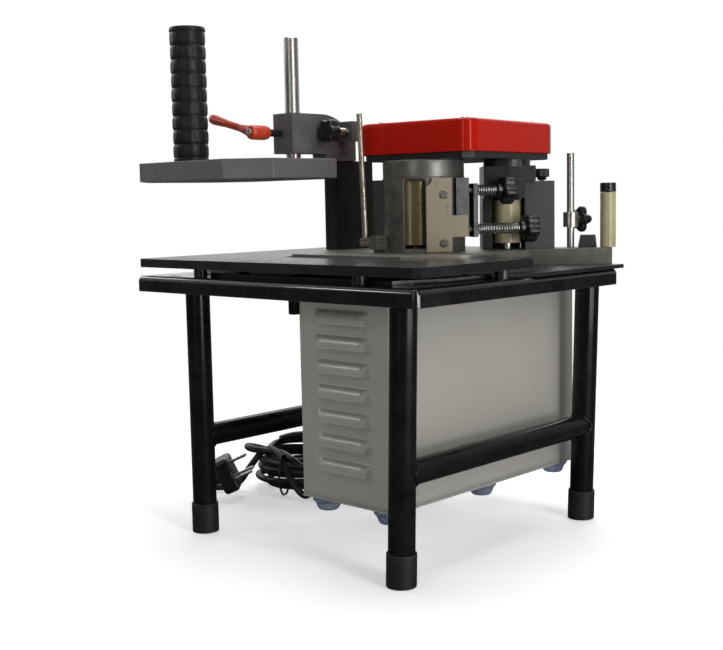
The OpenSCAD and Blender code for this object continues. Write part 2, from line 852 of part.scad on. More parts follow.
module transformer() {
    core = [box_at[0] + 47, -40, box_low];
    centred() color("#7c6a4a") {
        translate(core) cube([42, 80, 62]);
        translate(core + [-12, 13, 9]) cube([66, 54, 44]);
    }
}

foot_places = [[38, -113], [120, -113], [38, 28], [120, 28], [38, 158], [120, 158]];

module box_feet() {
    centred() color("#8fa3c9") for (p = foot_places) at(p) {
        translate([0, 0, box_low - 15]) cylinder(r1 = 10, r2 = 15.5, h = 13.5);
        translate([0, 0, box_low - 2]) cylinder(r = 2.9, h = 4);
    }
}

module power_switch() {
    centred() color("#1a1a1a") translate([box_at[0], 14, 201]) difference() {
        union() {
            block([0, -13.8, -10.8], [14, 13.8, 10.8]);
            block([-2, -16, -13], [0, 16, 13]);
        }
        block([-3, -11, -8], [8, 11, 8]);
        translate([2, 0, -9.5]) cylinder(r = 1.5 + fit, h = 19);
    }
}

module switch_rocker() {
    centred() color("#a01818") translate([box_at[0] + 2, 14, 201]) {
        translate([0, 0, -9]) cylinder(r = 1.5, h = 18);
        rotate(-8) intersection() {
            block([-6, -10.2, -7.8], [2, 10.2, 7.8]);
            translate([14, 0, -8]) cylinder(r = 19, h = 16);
        }
    }
}

module speed_knob() {
    centred() color("#0f0f0f") translate([box_at[0], 75, 205]) {
        translate([-2, 0, 0]) bar_x(3.5, 16);
        translate([-18, 0, 0]) bar_x(11, 17);
    }
}

module temperature_unit() {
    centred() color("#232425") translate([box_at[0], -52, 201]) {
        block([0, -22.9, -15.9], [60, 22.9, 15.9]);
        block([-6, -25, -18], [0, 25, 18]);
    }
}

// ---- cord ----

coil_at = [-172, 60];
cord_y = 116;

module power_cord() {
    r = 4;
    ring = 56;
    entry = [box_at[0] - 0.1, cord_y, 82];
    centred() color("#0c0c0c") {
        at(coil_at) rotate_extrude() polygon([
            [ring - 5, 0], [ring + 5, 0], [ring + 10, 6], [ring + 10, 50], [ring + 5, 57],
            [ring - 5, 57], [ring - 10, 50], [ring - 10, 6]
        ]);
        at([coil_at[0], entry[1]], r + 2) bar_x(r, entry[0] - coil_at[0] - 20);
        at([entry[0] - 20, entry[1]], 2) cylinder(r = r, h = entry[2] - 2 + r);
        at([entry[0] - 20, entry[1]], entry[2]) bar_x(r, 34);
    }
}

module power_plug() {
    centred() color("#0e0e0e") at([-196, -38], 22) rotate(gate_turn) {
        block([-22, -20, -22], [-2, 20, 20]);
        for (p = [[0, 11], [-11, -8], [11, -8]]) translate([-3, p[0], p[1]]) bar_x(2.5, 22);
    }
}

stand_frame();
stand_legs();
foot_caps();
table_plate();
table_spacers();
table_screws();
base_sheet();
base_slab();
tray_post();
tray_arm();
tray_rod();
tape_tray();
handle_core();
handle_grip();
clamp_lever();
clamp_stud();
tension_knob();
gear_cover();
top_plate();
gear_motor();
motor_gear();
glue_gear();
idler_gear();
feed_gear();
shaft_bushes();
glue_pot();
pot_ring();
glue_roller();
gate_plate();
pan_screws();
pot_heaters();
glue_knob();
feed_shaft();
feed_roller();
feed_housing();
support_block();
thumb_screw();
pressure_bracket();
pressure_spindles();
pressure_shoe();
pressure_springs();
upper_knob();
lower_knob();
guide_rod();
guide_collar();
guide_knob();
stop_block();
end_roller();
end_roller_bolt();
trip_rod();
box_shell();
box_pan();
box_feet();
transformer();
power_switch();
switch_rocker();
speed_knob();
temperature_unit();
power_cord();
power_plug();
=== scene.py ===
"""Looks for the table-top edge banding machine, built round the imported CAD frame."""

import math

import bmesh
import bpy
import numpy as np
from mathutils import Matrix, Vector, noise


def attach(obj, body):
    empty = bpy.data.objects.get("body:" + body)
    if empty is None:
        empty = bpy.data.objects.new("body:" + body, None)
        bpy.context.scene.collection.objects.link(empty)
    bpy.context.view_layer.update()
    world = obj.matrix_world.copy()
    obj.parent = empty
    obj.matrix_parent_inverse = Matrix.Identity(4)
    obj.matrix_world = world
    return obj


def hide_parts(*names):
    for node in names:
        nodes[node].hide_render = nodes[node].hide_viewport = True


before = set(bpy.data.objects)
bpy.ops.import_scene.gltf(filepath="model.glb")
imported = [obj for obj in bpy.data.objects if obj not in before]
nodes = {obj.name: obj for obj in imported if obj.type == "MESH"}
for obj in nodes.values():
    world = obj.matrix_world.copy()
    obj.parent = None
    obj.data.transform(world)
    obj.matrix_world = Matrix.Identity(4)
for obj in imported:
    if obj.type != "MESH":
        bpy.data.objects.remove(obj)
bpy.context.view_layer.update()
scene = bpy.context.scene

MM = 0.001
STAND_CENTRE = (17.5, -13.5)  # the CAD drawing's own centre, in the row frame, mm


def turned(degrees, axis):
    return Matrix.Rotation(math.radians(degrees), 4, axis)


def place(x, y, z, turn=0.0):
    """A local frame at stand-centred millimetres, turned about Z by degrees."""
    spot = Vector((x + STAND_CENTRE[0], y + STAND_CENTRE[1], z)) * MM
    return Matrix.Translation(spot) @ turned(turn, "Z")


HOME = place(0, 0, 0)
TO_X, TO_MINUS_X = turned(90, "Y"), turned(-90, "Y")
TO_Y, TO_MINUS_Y = turned(-90, "X"), turned(90, "X")


def shift(x, y, z):
    """A move in millimetres."""
    return Matrix.Translation(Vector((x, y, z)) * MM)


def put(name, data):
    """A new object in the scene."""
    o = bpy.data.objects.new(name, data)
    scene.collection.objects.link(o)
    return o


# ---------------------------------------------------------------- materials


class Shader:
    """A node tree under construction."""

    def __init__(self, tree):
        self.tree = tree

    def add(self, kind, **settings):
        node = self.tree.nodes.new(kind)
        for key, value in settings.items():
            setattr(node, key, value)
        return node

    def link(self, a, b):
        self.tree.links.new(a, b)

    def fill(self, values, sockets):
        """Sets each socket to a number, or links it to an output."""
        for value, socket in zip(values, sockets):
            if isinstance(value, (int, float)):
                socket.default_value = value
            else:
                self.link(value, socket)

    def ramp(self, value, low, high, to_low=0.0, to_high=1.0):
        """The value carried from one span to another, and held inside it."""
        node = self.add("ShaderNodeMapRange", clamp=True)
        self.fill((value, low, high, to_low, to_high), node.inputs)
        return node.outputs[0]

    def maths(self, kind, a, b, **settings):
        node = self.add("ShaderNodeMath", operation=kind, **settings)
        self.fill((a, b), node.inputs)
        return node.outputs[0]

    def mix(self, share, low, high):
        """From low to high as the share goes from 0 to 1."""
        node = self.add("ShaderNodeMix")
        self.fill((share, low, high), (node.inputs[0], node.inputs[2], node.inputs[3]))
        return node.outputs[0]


class Look(Shader):
    """A procedural material: mottled colour, worn or dusty places, roughness and fine relief, all in metres."""

    def __init__(self, name, base, rough, metal=0.0, coat=0.0, coat_rough=0.1, spec=0.5):
        self.mat = bpy.data.materials.new(name)
        self.mat.use_nodes = True
        self.mat.diffuse_color = (*base, 1)
        super().__init__(self.mat.node_tree)
        self.bsdf = self.tree.nodes["Principled BSDF"]
        put = self.bsdf.inputs
        put["Base Color"].default_value = (*base, 1)
        put["Roughness"].default_value = rough
        put["Metallic"].default_value = metal
        put["Coat Weight"].default_value = coat
        put["Coat Roughness"].default_value = coat_rough
        put["Specular IOR Level"].default_value = spec
        self.coords = self.add("ShaderNodeTexCoord").outputs["Object"]
        self.colour = self.add("ShaderNodeRGB").outputs[0]
        self.colour.default_value = (*base, 1)
        self.rough = self.add("ShaderNodeValue").outputs[0]
        self.rough.default_value = rough
        self.normal = None

    def noise(self, size_mm, detail=4.0, rough=0.55, stretch=(1, 1, 1), offset=0.0):
        """Noise whose features are about size_mm across, longer where stretch is below 1."""
        move = self.add("ShaderNodeMapping")
        self.link(self.coords, move.inputs["Vector"])
        move.inputs["Location"].default_value = (offset, offset * 0.7, offset * 1.3)
        move.inputs["Scale"].default_value = [s / (size_mm * MM) for s in stretch]
        node = self.add("ShaderNodeTexNoise")
        node.inputs["Scale"].default_value = 1.0
        node.inputs["Detail"].default_value = detail
        node.inputs["Roughness"].default_value = rough
        self.link(move.outputs[0], node.inputs["Vector"])
        return node.outputs["Fac"]

    def blend(self, mask, colour, rough=None):
        """Paints colour (and roughness) where the mask is 1."""
        mix = self.add("ShaderNodeMix", data_type="RGBA")
        self.link(mask, mix.inputs["Factor"])
        self.link(self.colour, mix.inputs[6])
        mix.inputs[7].default_value = (*colour, 1)
        self.colour = mix.outputs[2]
        if rough is not None:
            self.rough = self.mix(mask, self.rough, rough)
        return self

    def mottle(self, size_mm, colour, amount, low=0.4, high=0.65, rough=None, stretch=(1, 1, 1), offset=1.0):
        """Patches of a second colour, where the noise lies above low."""
        mask = self.ramp(self.noise(size_mm, 5.0, 0.6, stretch, offset), low, high, 0.0, amount)
        return self.blend(mask, colour, rough)

    def edges(self, colour, amount, radius_mm, rough, size_mm):
        """Wear along edges: where the rounded normal leaves the true one, broken up by noise."""
        bevel = self.add("ShaderNodeBevel", samples=4)
        bevel.inputs["Radius"].default_value = radius_mm * MM
        true = self.add("ShaderNodeNewGeometry")
        dot = self.add("ShaderNodeVectorMath", operation="DOT_PRODUCT")
        self.link(bevel.outputs[0], dot.inputs[0])
        self.link(true.outputs["Normal"], dot.inputs[1])
        edge = self.ramp(dot.outputs["Value"], 0.985, 0.86, 0.0, 1.0)
        broken = self.ramp(self.noise(size_mm, 6.0, 0.65, offset=3.0), 0.42, 0.62, 0.0, amount)
        return self.blend(self.maths("MULTIPLY", edge, broken), colour, rough)

    def dust(self, amount):
        """Pale dust on faces that look up."""
        true = self.add("ShaderNodeNewGeometry")
        split = self.add("ShaderNodeSeparateXYZ")
        self.link(true.outputs["Normal"], split.inputs[0])
        up = self.ramp(split.outputs["Z"], 0.55, 0.98)
        speck = self.ramp(self.noise(9, 8.0, 0.7, offset=5.0), 0.4, 0.75, 0.15, 1.0)
        mask = self.maths("MULTIPLY", self.maths("MULTIPLY", up, speck), amount)
        return self.blend(mask, (0.42, 0.39, 0.34), 0.75)

    def uneven(self, size_mm, amount):
        """Roughness that varies from place to place."""
        change = self.ramp(self.noise(size_mm, 5.0, 0.6, offset=8.0), 0.3, 0.7, -amount, amount)
        self.rough = self.maths("ADD", self.rough, change, use_clamp=True)
        return self

    def relief(self, size_mm, depth_mm, strength=0.6, stretch=(1, 1, 1)):
        """Fine bumps of the given size and depth."""
        bump = self.add("ShaderNodeBump")
        bump.inputs["Strength"].default_value = strength
        bump.inputs["Distance"].default_value = depth_mm * MM
        self.link(self.noise(size_mm, 3.0, 0.55, stretch, 12.0), bump.inputs["Height"])
        if self.normal is not None:
            self.link(self.normal, bump.inputs["Normal"])
        self.normal = bump.outputs[0]
        return self

    def done(self):
        self.link(self.colour, self.bsdf.inputs["Base Color"])
        self.link(self.rough, self.bsdf.inputs["Roughness"])
        if self.normal is not None:
            self.link(self.normal, self.bsdf.inputs["Normal"])
        return self.mat


TURNED = (0.004, 0.004, 1)  # stretch of marks that run round an upright axis
UPRIGHT = (1, 1, 0.3)  # stretch of marks that run up and down

M = {}


def stand_black(name, rough, coat, coat_rough, spec):
    """The stand's black paint, at the sheen asked for."""
    return (
        Look(name, (0.0025, 0.0025, 0.003), rough, coat=coat, coat_rough=coat_rough, spec=spec)
        .mottle(30, (0.009, 0.009, 0.0095), 0.7)
        .edges((0.09, 0.09, 0.095), 0.4, 0.6, 0.35, 5)
        .dust(0.05)
        .uneven(18, 0.09)
        .relief(3.2, 0.05, 0.35)
        .relief(0.7, 0.012, 0.3)
        .done()
    )


M["stand"] = stand_black("stand_paint", 0.3, 0.22, 0.1, 0.15)
M["rim"] = stand_black("stand_gloss", 0.28, 1.0, 0.05, 0.4)
M["cap"] = (
    Look("cap_rubber", (0.006, 0.006, 0.0065), 0.55)
    .mottle(9, (0.014, 0.014, 0.014), 0.6)
    .edges((0.12, 0.12, 0.115), 0.5, 0.8, 0.8, 4)
    .dust(0.12)
    .relief(0.8, 0.04, 0.6)
    .done()
)
M["table"] = (
    Look("table_paint", (0.008, 0.0085, 0.0095), 0.3, coat=0.15, coat_rough=0.22, spec=0.4)
    .mottle(55, (0.016, 0.0165, 0.018), 0.8)
    .edges((0.16, 0.16, 0.17), 0.6, 0.7, 0.3, 7)
    .dust(0.07)
    .uneven(25, 0.07)
    .relief(0.9, 0.008, 0.4)
    .mottle(14, (0.05, 0.05, 0.053), 0.3, 0.66, 0.74, 0.24, (0.12, 1, 1), 9.0)
    .done()
)
M["black"] = (
    Look("machine_black", (0.0075, 0.0078, 0.0085), 0.38)
    .mottle(14, (0.015, 0.015, 0.0155), 0.8)
    .edges((0.17, 0.165, 0.16), 0.5, 0.5, 0.35, 5)
    .dust(0.08)
    .uneven(8, 0.1)
    .relief(1.0, 0.05, 0.5)
    .done()
)
M["sheet"] = (
    Look("sheet_black", (0.008, 0.008, 0.009), 0.34, coat=0.1)
    .mottle(40, (0.018, 0.018, 0.019), 0.8)
    .edges((0.26, 0.25, 0.24), 0.6, 0.5, 0.35, 6)
    .dust(0.08)
    .uneven(15, 0.1)
    .relief(0.9, 0.03, 0.5)
    .done()
)
M["zinc"] = (
    Look("zinc_steel", (0.56, 0.55, 0.52), 0.28, 1.0)
    .mottle(3, (0.4, 0.38, 0.33), 0.6, rough=0.42)
    .uneven(2, 0.08)
    .relief(0.5, 0.02, 0.4)
    .done()
)
M["bright"] = (
    Look("bright_steel", (0.46, 0.45, 0.43), 0.34, 1.0)
    .mottle(22, (0.48, 0.47, 0.45), 0.5, rough=0.36, stretch=UPRIGHT)
    .uneven(12, 0.05)
    .relief(0.35, 0.003, 0.25, stretch=TURNED)
    .done()
)
M["aged"] = (
    Look("aged_steel", (0.42, 0.39, 0.32), 0.34, 0.9)
    .mottle(7, (0.2, 0.17, 0.12), 0.7, 0.45, 0.6, 0.5)
    .uneven(4, 0.1)
    .relief(0.6, 0.03, 0.4)
    .done()
)
M["slab"] = (
    Look("slab_steel", (0.26, 0.25, 0.225), 0.42, 0.75)
    .mottle(28, (0.17, 0.16, 0.14), 0.7, rough=0.5)
    .edges((0.55, 0.54, 0.5), 0.8, 0.6, 0.28, 7)
    .dust(0.12)
    .uneven(10, 0.08)
    .relief(0.5, 0.03, 0.5, stretch=(0.02, 1, 1))
    .mottle(5, (0.08, 0.07, 0.055), 0.5, 0.64, 0.72, 0.6, offset=20.0)
    .done()
)
M["arm"] = (
    Look("arm_grey", (0.1, 0.1, 0.102), 0.44)
    .mottle(20, (0.145, 0.145, 0.145), 0.8)
    .edges((0.3, 0.3, 0.3), 0.65, 0.7, 0.35, 6)
    .dust(0.10)
    .uneven(9, 0.07)
    .relief(0.9, 0.06, 0.6)
    .relief(4, 0.08, 0.25)
    .done()
)
M["tray"] = (
    Look("tray_grey", (0.1, 0.099, 0.098), 0.46)
    .mottle(45, (0.125, 0.124, 0.121), 0.8)
    .edges((0.28, 0.28, 0.27), 0.6, 0.8, 0.36, 7)
    .dust(0.10)
    .uneven(16, 0.07)
    .relief(0.8, 0.05, 0.6)
    .done()
)
M["grip"] = (
    Look("grip_rubber", (0.005, 0.005, 0.0055), 0.46, spec=0.35)
    .mottle(6, (0.012, 0.012, 0.0125), 0.7)
    .dust(0.08)
    .uneven(4, 0.1)
    .relief(0.45, 0.04, 0.6)
    .done()
)
M["knob"] = (
    Look("knob_plastic", (0.0065, 0.0065, 0.007), 0.3, spec=0.55)
    .mottle(7, (0.012, 0.012, 0.0125), 0.7)
    .edges((0.09, 0.09, 0.09), 0.5, 0.6, 0.4, 3)
    .uneven(3, 0.08)
    .relief(0.5, 0.02, 0.5)
    .done()
)
M["lever"] = (
    Look("lever_red", (0.56, 0.055, 0.018), 0.34, coat=0.4, coat_rough=0.2)
    .mottle(8, (0.38, 0.03, 0.01), 0.6)
    .edges((0.75, 0.2, 0.1), 0.4, 0.6, 0.4, 4)
    .mottle(5, (0.12, 0.02, 0.01), 0.6, 0.66, 0.74, 0.55, offset=17.0)
    .relief(1.2, 0.06, 0.4)
    .done()
)
M["cover"] = (
    Look("cover_red", (0.4, 0.0085, 0.0025), 0.3, coat=0.3, coat_rough=0.03, spec=0.05)
    .mottle(60, (0.42, 0.008, 0.002), 0.8)
    .edges((0.72, 0.05, 0.03), 0.35, 1.0, 0.3, 9)
    .dust(0.06)
    .relief(6, 0.06, 0.35)
    .relief(1.1, 0.008, 0.3)
    .done()
)
M["brass"] = (
    Look("gear_brass", (0.62, 0.42, 0.16), 0.3, 1.0)
    .mottle(6, (0.35, 0.22, 0.08), 0.6, rough=0.45)
    .edges((0.85, 0.66, 0.34), 0.6, 0.4, 0.2, 3)
    .relief(0.4, 0.02, 0.4, stretch=TURNED)
    .done()
)
M["bronze"] = (
    Look("bush_bronze", (0.45, 0.27, 0.12), 0.4, 1.0)
    .mottle(4, (0.2, 0.12, 0.06), 0.6, rough=0.55)
    .relief(0.4, 0.03, 0.5)
    .done()
)
M["pot"] = (
    Look("pot_cast", (0.15, 0.145, 0.132), 0.46, 0.55)
    .mottle(16, (0.1, 0.095, 0.085), 0.8, rough=0.55)
    .edges((0.4, 0.39, 0.36), 0.7, 0.7, 0.33, 6)
    .mottle(11, (0.2, 0.16, 0.09), 0.5, 0.6, 0.72, 0.35, (1, 1, 0.35), 23.0)
    .dust(0.12)
    .uneven(6, 0.08)
    .relief(0.9, 0.09, 0.6)
    .done()
)
M["ring"] = (
    Look("ring_turned", (0.2, 0.195, 0.182), 0.38, 0.8)
    .mottle(14, (0.13, 0.125, 0.11), 0.7, rough=0.5)
    .edges((0.5, 0.49, 0.46), 0.8, 0.6, 0.28, 6)
    .relief(0.5, 0.03, 0.5, stretch=TURNED)
    .done()
)
M["gate"] = (
    Look("gate_bronze", (0.45, 0.4, 0.3), 0.36, 0.6)
    .mottle(13, (0.4, 0.35, 0.25), 0.7, rough=0.44)
    .edges((0.62, 0.58, 0.5), 0.85, 0.6, 0.25, 5)
    .mottle(7, (0.2, 0.15, 0.08), 0.5, 0.62, 0.7, 0.5, (1, 1, 0.5), 27.0)
    .relief(0.45, 0.02, 0.45, stretch=(1, 1, 0.03))
    .done()
)
M["olive"] = (
    Look("roller_olive", (0.14, 0.112, 0.045), 0.3, 0.4, coat=0.3, coat_rough=0.15)
    .mottle(14, (0.11, 0.085, 0.035), 0.7, 0.35, 0.65, 0.24, UPRIGHT)
    .mottle(6, (0.2, 0.17, 0.09), 0.35, 0.58, 0.7, 0.25, UPRIGHT, 6.0)
    .relief(2.5, 0.06, 0.4)
    .relief(1.0, 0.04, 0.5, stretch=TURNED)
    .done()
)
M["cream"] = (
    Look("roller_cream", (0.38, 0.345, 0.205), 0.36, coat=0.2)
    .mottle(10, (0.3, 0.265, 0.145), 0.7, 0.42, 0.62, 0.46, (1, 1, 0.5))
    .mottle(4, (0.28, 0.23, 0.12), 0.4, 0.66, 0.75, 0.6, UPRIGHT, 31.0)
    .uneven(5, 0.06)
    .relief(0.8, 0.03, 0.5, stretch=TURNED)
    .done()
)
M["block"] = (
    Look("block_grey", (0.042, 0.042, 0.04), 0.45, 0.2)
    .mottle(12, (0.055, 0.055, 0.052), 0.7)
    .edges((0.36, 0.36, 0.36), 0.7, 0.6, 0.32, 5)
    .dust(0.15)
    .relief(0.8, 0.05, 0.6)
    .done()
)
M["spring"] = (
    Look("spring_steel", (0.66, 0.66, 0.67), 0.2, 1.0)
    .mottle(3, (0.42, 0.41, 0.39), 0.5, rough=0.34)
    .relief(0.3, 0.01, 0.3)
    .done()
)
M["box"] = (
    Look("box_paint", (0.355, 0.342, 0.314), 0.36, coat=0.45, coat_rough=0.2)
    .mottle(70, (0.335, 0.322, 0.294), 0.8)
    .edges((0.62, 0.61, 0.59), 0.5, 0.8, 0.3, 9)
    .mottle(22, (0.3, 0.29, 0.262), 0.25, 0.6, 0.72, 0.45, offset=33.0)
    .uneven(30, 0.05)
    .relief(0.8, 0.01, 0.4)
    .relief(9, 0.03, 0.12)
    .done()
)
feet = (
    Look("feet_rubber", (0.32, 0.37, 0.5), 0.25, coat=0.5, coat_rough=0.1)
    .mottle(6, (0.2, 0.24, 0.36), 0.8, rough=0.3)
    .relief(1.6, 0.02, 0.25)
)
feet.bsdf.inputs["Transmission Weight"].default_value = 0.55
feet.bsdf.inputs["IOR"].default_value = 1.42
M["feet"] = feet.done()
M["core"] = (
    Look("core_iron", (0.2, 0.16, 0.1), 0.5, 0.4)
    .mottle(8, (0.1, 0.08, 0.05), 0.7)
    .relief(0.6, 0.12, 0.8, stretch=(1, 0.01, 0.01))
    .done()
)
M["rocker"] = (
    Look("rocker_red", (0.5, 0.02, 0.012), 0.18, coat=0.6, coat_rough=0.05)
    .mottle(5, (0.36, 0.012, 0.008), 0.7)
    .relief(0.6, 0.01, 0.4)
    .done()
)
M["cord"] = (
    Look("cord_rubber", (0.011, 0.011, 0.011), 0.36)
    .mottle(9, (0.026, 0.026, 0.026), 0.7, rough=0.5)
    .dust(0.18)
    .relief(0.9, 0.04, 0.5)
    .done()
)
M["glass"] = (
    Look("display_glass", (0.008, 0.006, 0.006), 0.08, coat=1.0, coat_rough=0.03)
    .mottle(12, (0.016, 0.012, 0.012), 0.7, rough=0.16)
    .relief(4, 0.01, 0.2)
    .done()
)
digit = Look("display_digits_painted_glow", (0.9, 0.05, 0.02), 0.3).mottle(2, (0.7, 0.02, 0.01), 0.5)
# painted glow: emission lights the digits as if the display were switched on
digit.bsdf.inputs["Emission Color"].default_value = (1, 0.06, 0.02, 1)
digit.bsdf.inputs["Emission Strength"].default_value = 0.6
M["digit"] = digit.done()
M["mark"] = Look("mark_white", (0.7, 0.7, 0.68), 0.5).mottle(2, (0.5, 0.5, 0.48), 0.5).done()

# ------------------------------------------------------- CAD nodes that stay

# look: its nodes, each with its edge rounding in mm
KEPT = {
    "stand": {"stand_legs": 0.4},
    "cap": {"foot_caps": 1.6},
    "table": {"table_plate": 0.9},
    "sheet": {"base_sheet": 0.5},
    "slab": {"base_slab": 0.8},
    "black": {
        "table_spacers": 0.5, "tray_post": 1.0, "clamp_stud": 0.2, "top_plate": 0.6, "gear_motor": 0.6,
        "feed_housing": 0.8, "pressure_bracket": 0.7, "pressure_shoe": 0.5,
    },
    "zinc": {"table_screws": 0.15, "handle_core": 0.3, "pan_screws": 0.15, "pot_heaters": 0.4, "guide_collar": 0.7},
    "bright": {"tray_rod": 0.3, "feed_shaft": 0.3, "guide_rod": 0.4},
    "aged": {"trip_rod": 0.4},
    "arm": {"tray_arm": 1.2},
    "tray": {"tape_tray": 1.0},
    "brass": {"motor_gear": 0.15, "glue_gear": 0.15, "idler_gear": 0.15, "feed_gear": 0.15},
    "bronze": {"shaft_bushes": 0.3},
    "pot": {"glue_pot": 0.6},
    "ring": {"pot_ring": 0.8},
    "olive": {"glue_roller": 0.6},
    "gate": {"gate_plate": 0.5},
    "cream": {"feed_roller": 0.7, "end_roller": 0.5},
    "block": {"support_block": 0.8, "stop_block": 0.8},
    "knob": {"glue_knob": 0.8, "end_roller_bolt": 0.8, "power_switch": 0.6, "temperature_unit": 0.7},
    "rocker": {"switch_rocker": 0.6},
    "box": {"box_pan": 0.4},
    "core": {"transformer": 0.8},
}


def finish_node(name, look, edge_mm):
    """Material, merged triangles, rounded edges and smooth shading on a CAD node."""
    o = nodes[name]
    o.data.materials.clear()
    o.data.materials.append(M[look])
    if "custom_normal" in o.data.attributes:
        o.data.attributes.remove(o.data.attributes["custom_normal"])
    o.data.shade_smooth()
    weld = o.modifiers.new("weld", "WELD")
    weld.merge_threshold = 1e-6
    flat = o.modifiers.new("flat", "DECIMATE")
    flat.decimate_type = "DISSOLVE"
    flat.angle_limit = math.radians(0.4)
    round_off(o, edge_mm)


def round_off(o, edge_mm, segments=3, angle=32):
    """Rounded edges wherever two faces meet at more than the angle."""
    bevel = o.modifiers.new("edges", "BEVEL")
    bevel.width = edge_mm * MM
    bevel.segments = segments
    bevel.limit_method = "ANGLE"
    bevel.angle_limit = math.radians(angle)
    bevel.miter_outer = "MITER_ARC"
    bevel.use_clamp_overlap = True
    even = o.modifiers.new("normals", "WEIGHTED_NORMAL")
    even.weight = 80


for look, kept in KEPT.items():
    for name, edge_mm in kept.items():
        finish_node(name, look, edge_mm)

# ------------------------------------------------------------- mesh helpers


def make(name, verts_mm, faces, look, at, merge_mm):
    """An object from points and faces, with points that coincide merged."""
    mesh = bpy.data.meshes.new(name)
    mesh.from_pydata([Vector(v) * MM for v in verts_mm], [], faces)
    bm = bmesh.new()
    bm.from_mesh(mesh)
    bmesh.ops.remove_doubles(bm, verts=bm.verts, dist=merge_mm * MM)
    bm.to_mesh(mesh)
    bm.free()
    mesh.validate()
    mesh.shade_smooth()
    mesh.materials.append(M[look])
    o = put(name, mesh)
    o.matrix_world = at
    return o


def soften(points, radius, steps=3, closed=False):
    """Rounds the corners of a polyline of 2D points."""
    out = []
    count = len(points)
    for i, p in enumerate(points):
        if not closed and i in (0, count - 1):
            out.append(tuple(p))
            continue
        a, b = Vector(points[i - 1]), Vector(points[(i + 1) % count])
        p = Vector(p)
        da, db = a - p, b - p
        la, lb = min(radius, da.length * 0.45), min(radius, db.length * 0.45)
        if la < 1e-4 or lb < 1e-4:
            out.append(tuple(p))
            continue
        s, e = p + da.normalized() * la, p + db.normalized() * lb
        for k in range(steps + 1):
            t = k / steps
            out.append(tuple(s * (1 - t) ** 2 + p * 2 * t * (1 - t) + e * t * t))
    return out


def bands(loops, closed=False, gaps=()):
    """All the points, and the faces between loops of equal length, apart from the numbered gaps."""
    n = len(loops[0])
    faces = []
    for j in range(len(loops) if closed else len(loops) - 1):
        if j not in gaps:
            a, b = j * n, (j + 1) % len(loops) * n
            faces += [(a + i, a + (i + 1) % n, b + (i + 1) % n, b + i) for i in range(n)]
    return [v for loop in loops for v in loop], faces


def rings(name, loops, look, at, closed=False):
    """A solid through loops of equal length, with end caps unless the last loop joins the first."""
    n = len(loops[0])
    verts, faces = bands(loops, closed)
    if not closed:
        faces.append(tuple(range(n - 1, -1, -1)))
        faces.append(tuple(range((len(loops) - 1) * n, len(loops) * n)))
    return make(name, verts, faces, look, at, 1e-4)


def circle(r, z, n=56, wobble=None):
    """A level ring of n points; wobble gives the share of r at an angle."""
    out = []
    for i in range(n):
        a = 2 * math.pi * i / n
        s = r * (wobble(a) if wobble else 1)
        out.append((s * math.cos(a), s * math.sin(a), z))
    return out


def lathe(name, profile, look, at, edge=0.5, n=56):
    """A turned solid from (radius, height) points, with its corners rounded."""
    line = soften(profile, edge, 3)
    return weigh(rings(name, [circle(max(r, 0.01), z, n) for r, z in line], look, at))


def weigh(o):
    """Smooth shading that keeps large flat faces flat."""
    even = o.modifiers.new("normals", "WEIGHTED_NORMAL")
    even.weight = 70
    return o


def offset(points, d):
    """Closed outline moved inwards by d; points run anticlockwise."""
    out = []
    n = len(points)
    for i in range(n):
        a, p, b = Vector(points[i - 1]), Vector(points[i]), Vector(points[(i + 1) % n])
        e, f = (p - a).normalized(), (b - p).normalized()
        na, nb = Vector((-e.y, e.x)), Vector((-f.y, f.x))
        m = (na + nb).normalized()
        out.append(tuple(p + m * (d / max(0.35, m.dot(na)))))
    return out


def quarter(steps):
    """1 - cosine and sine along a quarter turn."""
    return [(1 - math.cos(a), math.sin(a)) for a in np.arange(steps + 1) * math.pi / 2 / steps]


def arc(x, y, r, start, sweep, steps):
    """Points along part of a circle, with its angles in degrees."""
    turn = [math.radians(start + sweep * k / steps) for k in range(steps + 1)]
    return [(x + r * math.cos(a), y + r * math.sin(a)) for a in turn]


def prism(name, outline, low, high, look, at, edge=0.8, steps=3):
    """An upright solid with rounded top and bottom edges."""
    loops = []
    for z, sign in ((low, -1), (high, 1)):
        arc = [(edge * (1 - s), z - sign * edge * c) for c, s in quarter(steps)]
        loops += [[(x, y, zz) for x, y in offset(outline, d)] for d, zz in arc[::-sign]]
    return weigh(rings(name, loops, look, at))


def tube(name, path, r, look, at, n=12):
    """A round tube along a path of 3D points."""
    p = np.array(path, float)
    t = np.gradient(p, axis=0)
    t /= np.linalg.norm(t, axis=1)[:, None]
    side = np.cross(t[0], (0, 0, 1) if abs(t[0][2]) < 0.9 else (1, 0, 0))
    angles = np.arange(n) * 2 * math.pi / n
    loops = []
    for i in range(len(p)):
        side = side - t[i] * (side @ t[i])
        side /= np.linalg.norm(side)
        up = np.cross(t[i], side)
        loops.append([tuple(p[i] + r * (math.cos(a) * side + math.sin(a) * up)) for a in angles])
    return rings(name, loops, look, at)


def join(name, *objs):
    """One object from several, each in its own place."""
    for o in objs:
        o.data.transform(objs[0].matrix_world.inverted() @ o.matrix_world)
    bm = bmesh.new()
    for o in objs:
        bm.from_mesh(o.data)
    mesh = objs[0].data
    bm.to_mesh(mesh)
    bm.free()
    for o in objs[1:]:
        bpy.data.objects.remove(o)
    objs[0].name = name
    mesh.name = name
    return objs[0]


def settle(o):
    """Makes the result of the modifiers the mesh itself."""
    bpy.context.view_layer.update()
    mesh = bpy.data.meshes.new_from_object(o.evaluated_get(bpy.context.evaluated_depsgraph_get()))
    o.modifiers.clear()
    o.data = mesh


def carve(o, *cutters):
    """Cuts the shapes out of the object."""
    cutter = join("cutter", *cutters)
    cutter.modifiers.clear()
    cut = o.modifiers.new("cut", "BOOLEAN")
    cut.object = cutter
    cut.operation = "DIFFERENCE"
    cut.solver = "EXACT"
    settle(o)
    bpy.data.objects.remove(cutter)
    o.data.shade_smooth()


